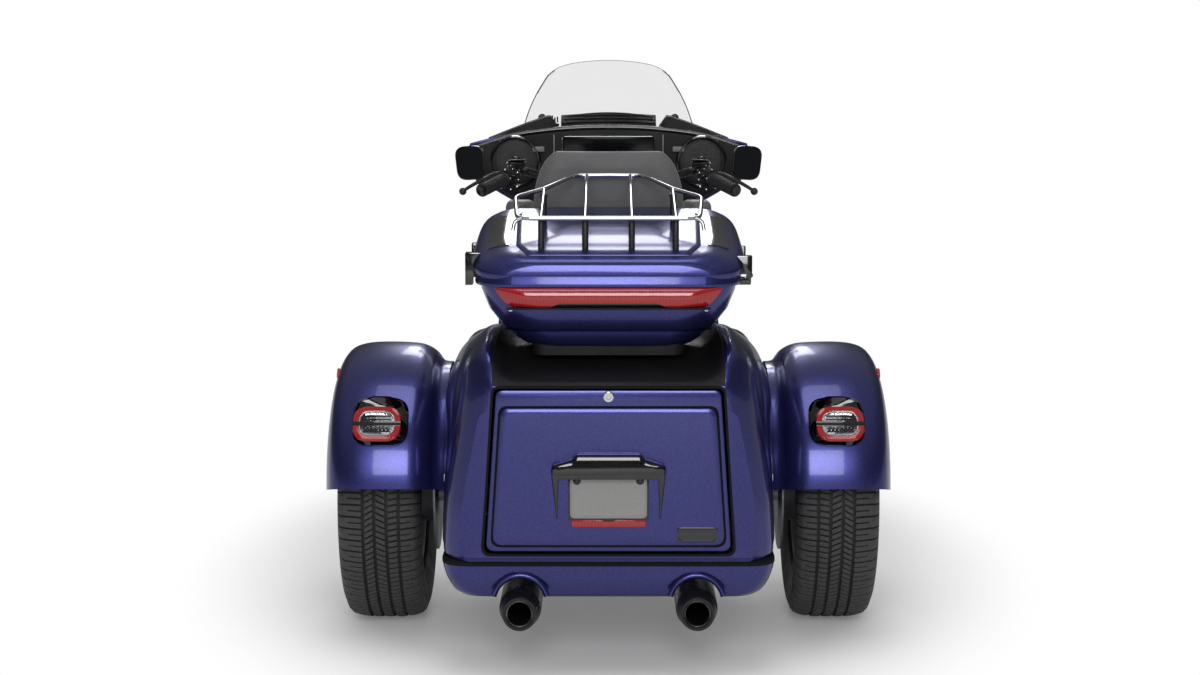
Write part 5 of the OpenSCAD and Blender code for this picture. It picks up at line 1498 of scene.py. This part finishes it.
def inner_fairing():
    panel = merged_copy("inner_fairing", "inner_panel")
    place(panel, "inner_fairing", "black_plastic", angle=35)
    # Padded rim that runs along the top and round both ends, seen as one dark band
    rim = []
    for i in range(81):
        x = -402 + 804 * i / 80
        u = abs(x) / HALF
        rim.append((x, fairing_rear(u) - 6,
                    fairing_top(u) - (7 if abs(x) < 300 else 7 + 0.1 * (abs(x) - 300))))
    ends = [(-418, fairing_rear(1) - 8, 1130), (-412, fairing_rear(1) - 6, 1104)]
    band = pipe("band", ends[::-1] + rim + [(-x, y, z) for x, y, z in ends], 8, 20, 3, 5)
    add(band, "inner_fairing", "gloss_black", angle=50, slot="black_plastic")
    # Speaker pods: dished rings with a fine grille, and above each a short grey strip that is a
    # painted highlight
    parts, grilles, strips = [], [], []
    x, z = 286, 1122
    y = inner_face(x)
    pod = turned("pod", [(80, 2), (78, -6), (74, -9), (70, -8), (67, -2), (66, 6)], (x, y, z),
                 "Y", 72)
    parts.append(pod)
    grille = turned("grille", [(67, -1), (56, -5), (40, -7), (20, -8), (0.1, -8.3)], (x, y, z), "Y",
                    72)
    grilles.append(grille)
    cone = turned("tweeter", [(17, -7), (17, -11), (14, -13), (5, -12), (0.1, -14)], (x, y, z), "Y",
                  40)
    parts.append(cone)
    # Grey strip above the pod: a painted highlight
    strips.append(block("strip", (214, y - 4, 1160), (36, 8, 16), 2))
    add(pair("speaker_pods", joined("pods", parts)), "inner_fairing", "gloss_black", angle=35,
        slot="black_plastic")
    add(pair("speaker_grilles", joined("grilles", grilles)), "inner_fairing", "speaker_mesh",
        angle=40, slot="black_plastic")
    add(pair("pod_painted_highlights", joined("strips", strips)), "inner_fairing", "painted_highlight_grey", angle=40,
        slot="black_plastic")
    # Display with a thin pale frame, and a bright upright strip on each side
    y = inner_face(0) - 2
    glass = block("display", (0, y - 3, 1155), (280, 8, 86), 4, 3, (6, 0, 0))
    add(glass, "inner_fairing", "screen_glass", angle=35, slot="black_plastic")
    edge = pipe("display_edge", [(-142, y - 5, 1112), (-142, y - 2, 1198), (142, y - 2, 1198),
                                 (142, y - 5, 1112), (-142, y - 5, 1112)], 1.1, 12, 5, 3)
    uprights = [pipe("upright", [(167 * s, y - 8, 1204), (168 * s, y - 6, 1128)], 3.2)
        for s in (1, -1)]
    add(joined("dash_brightwork", [edge] + uprights), "inner_fairing", "chrome_steel", angle=40,
        slot="chrome_steel")
    # Row of gauges over the display, mostly behind the backrest
    gauges = []
    for gx, r in ((-52, 44), (52, 44), (-134, 26), (134, 26)):
        gauges.append(turned("gauge", [(r, 6), (r, -8), (r - 3, -11), (r - 6, -8), (r - 6, -3),
                                       (0.1, -3)], (gx, inner_face(gx) - 2, 1058), "Y", 48))
    add(joined("gauges", gauges), "inner_fairing", "gloss_black", angle=35, slot="black_plastic")


def crown_y(x):
    u = min(abs(x) / HALF, 1)
    return mix(fairing_front(u), fairing_rear(u), 0.6)


def fairing_vent():
    def at(x):
        u = abs(x) / HALF
        z = fairing_top(u) - 0.7
        y0, y1, y2, y3 = fairing_rear(u) + 30, crown_y(x) - 8, crown_y(x) - 24, fairing_rear(u) + 66
        bow = 38 - 10 * (abs(x) / 147) ** 2
        return [(x, y0, z + 0.5), (x, y1, z), (x, y2, z + 34), (x, y3, z + bow),
                (x, y0 + 2, z + 10)]

    body = loft("vent_block", [at(-147 + 294 * i / 28) for i in range(29)])
    slots = []
    for k in range(3):
        rings = []
        for i in range(29):
            x = -138 + 276 * i / 28
            u = abs(x) / HALF
            z = fairing_top(u) + 3 + 9.5 * k
            y = fairing_rear(u) + 30 + 9.5 * k
            rings.append([(x, y - 12, z + 1), (x, y + 16, z + 4), (x, y + 16, z + 8),
                          (x, y - 12, z + 5)])
        slots.append(loft("slot", rings))
    carve(body, *slots)
    place(body, "fairing_vent", "black_plastic", angle=30)


def shield_point(u, v):
    x = 268 * u + (186 - 268) * u * v + 9 * u * math.sin(math.pi * v)
    w = abs(x) / HALF
    y = mix(crown_y(x), 565 - 34 * u * u, v)
    z = mix(fairing_top(w) - 1.2, 1430 - 26 * u * u - 20 * abs(u) ** 8, v)
    return Vector((x, y, z))


def windshield():
    rings = []
    for i in range(61):
        u = -1 + i / 30
        row = [shield_point(u, j / 16) for j in range(17)]
        rings.append([tuple(p) for p in row] + [(p.x, p.y + 4.5, p.z) for p in row[::-1]])
    sheet = loft("shield", rings, caps="folded")
    place(sheet, "windshield", "clear_shield", angle=40)
    edges = []
    for side in (1, -1):
        edges.append(pipe("edge", [shield_point(side * 0.997, j / 16) + Vector((0, 2, 0))
                                   for j in range(17)], 1.5, 3, 2, 3))
    edges.append(pipe("top_edge", [shield_point(-0.997 + 1.994 * i / 40,
                                                0.999) + Vector((0, 2, -0.6)) for i in range(41)],
                      0.7, 3, 2, 3))
    add(joined("shield_edges", edges), "windshield", "shield_edge", angle=50, slot="clear_shield")
    bolts = []
    for side in (1, -1):
        p = shield_point(side * 0.80, 0.17)
        bolts.append(turned("bolt", [(0.1, -9), (6, -9), (8.5, -7), (9, -4), (12, -3), (12, 0),
                                     (7, 1), (7, 8), (12, 9), (12, 13), (0.1, 13)], p, "Y", 28))
    bolts = joined("shield_bolts", bolts)
    add(bolts, "windshield", "gloss_black", angle=35, slot="black_steel")


def headlamps():
    # Bright bowl, chrome rim and a domed glass on the nose
    can = turned("can", [(0.1, 758), (70, 758), (89, 784), (89.8, 800), (89.8, 836), (88.5, 839.5),
                         (84, 840), (83, 836), (83, 828), (0.1, 770)], (0, 0, 1000), "Y", 96)
    place(can, "headlamps", "chrome_steel", angle=30)
    glass = turned("glass", [(83, 828), (80, 831), (50, 836), (0.1, 838.5)], (0, 0, 1000), "Y", 72)
    add(glass, "headlamps", "lamp_glass", angle=40)
    cells = [turned("cell", [(26, 829), (26, 806), (8, 792), (0.1, 790)], (x, 0, z), "Y", 40)
             for x, z in ((-34, 1028), (34, 1028), (-34, 972), (34, 972))]
    add(joined("lamp_cells_front", cells), "headlamps", "lamp_glass", angle=35)
    aux = turned("aux", [(0.1, 726), (24, 727), (46, 738), (53, 748), (54, 756), (54, 796),
                         (52.5, 799.6), (48, 800), (47, 794), (47, 788), (30, 770), (0.1, 762)],
                 (198, 0, 906), "Y", 64)
    add(pair("aux_lamps", aux), "headlamps", "chrome_steel", angle=30)
    lens = turned("lens", [(47, 788), (40, 792), (0.1, 796)], (198, 0, 906), "Y", 48)
    add(pair("aux_lenses", lens), "headlamps", "lamp_glass", angle=40)
    rail = pipe("rail", [(-150, 752, 878), (150, 752, 878)], 8.8)
    add(rail, "headlamps", "chrome_steel", angle=40)


def mirrors():
    def ring(w, h, r, y, steps=8):
        points = rounded([(w / 2, -h / 2 + 6), (w / 2 - 3, h / 2), (-w / 2 + 5, h / 2 - 5),
                          (-w / 2 + 12, -h / 2)], [r, r, r, r], steps)
        a = math.radians(8)
        return [(396 + p[0] * math.cos(a) + p[1] * math.sin(a), y,
                 1138 - p[0] * math.sin(a) + p[1] * math.cos(a)) for p in points]

    case = loft("case", [ring(84, 96, 26, 81), ring(90, 103, 30, 79), ring(92, 104, 30, 82),
                         ring(92, 104, 30, 90), ring(84, 94, 28, 98), ring(60, 68, 22, 103.5)])
    place(pair("mirror_cases", case), "mirrors", "gloss_black", angle=45)
    glass = loft("glass", [ring(85, 97, 27, 80.6), ring(84, 96, 26.5, 80.2),
                           ring(84, 96, 26.5, 83)])
    add(pair("mirror_glasses", glass), "mirrors", "mirror_glass", angle=40, slot="lamp_glass")
    # Stalk: a flat cast blade, deep near the mirror and thin at the lever clamp
    path = catmull([[378, 92, 1096, 16, 5], [362, 98, 1072, 15, 5], [342, 112, 1066, 11, 5],
                    [322, 124, 1072, 8, 5], [316, 124, 1100, 7, 6]], 6)
    rings = []
    for i, row in enumerate(path):
        p = Vector(row[:3])
        q0, q1 = Vector(path[max(i - 1, 0)][:3]), Vector(path[min(i + 1, len(path) - 1)][:3])
        way = (q1 - q0).normalized()
        side = way.cross(Vector((0, 1, 0))).normalized()
        up = side.cross(way).normalized()
        rings.append([p + side * (row[3] * 0.62 * math.cos(a)) + up * (row[4] * math.sin(a))
                      for a in (2 * math.pi * k / 14 for k in range(14))])
    add(pair("mirror_stalks", loft("stalk", rings)), "mirrors", "black_alloy", angle=45,
        slot="black_alloy")


def fairing_ears():
    # Black fillets on the crown beside the vent, and the cable guide at its left
    rings = []
    for i in range(19):
        t = i / 18
        x = 156 + 214 * t
        u = x / HALF
        z = fairing_top(u) - 3
        rise = 44 * min(1, t / 0.12) * (1 - t) ** 1.1 + 0.6
        y = fairing_rear(u)
        rings.append([(x, y + 4, z), (x, y + 20, z + rise), (x, y + 62, z + rise + 4),
                      (x, y + 96, z + 1)])
    add(pair("fairing_ears", loft("ear", rings)), "outer_fairing", "black_plastic", angle=35,
        slot="black_plastic")
    pegs = [block("peg", (-182 + 8 * k, 566, 1243 + 4 * (k % 2)), (4.5, 9, 30 - 4 * k), 1.4)
            for k in range(4)]
    pegs.append(block("foot", (-170, 566, 1231), (34, 16, 8), 2))
    add(joined("cable_guide", pegs), "outer_fairing", "black_plastic", angle=35,
        slot="black_plastic")


place(merged_copy("outer_fairing", "fairing_shell"), "outer_fairing", angle=40)
fairing_ears()
inner_fairing()
fairing_vent()
windshield()
headlamps()
mirrors()
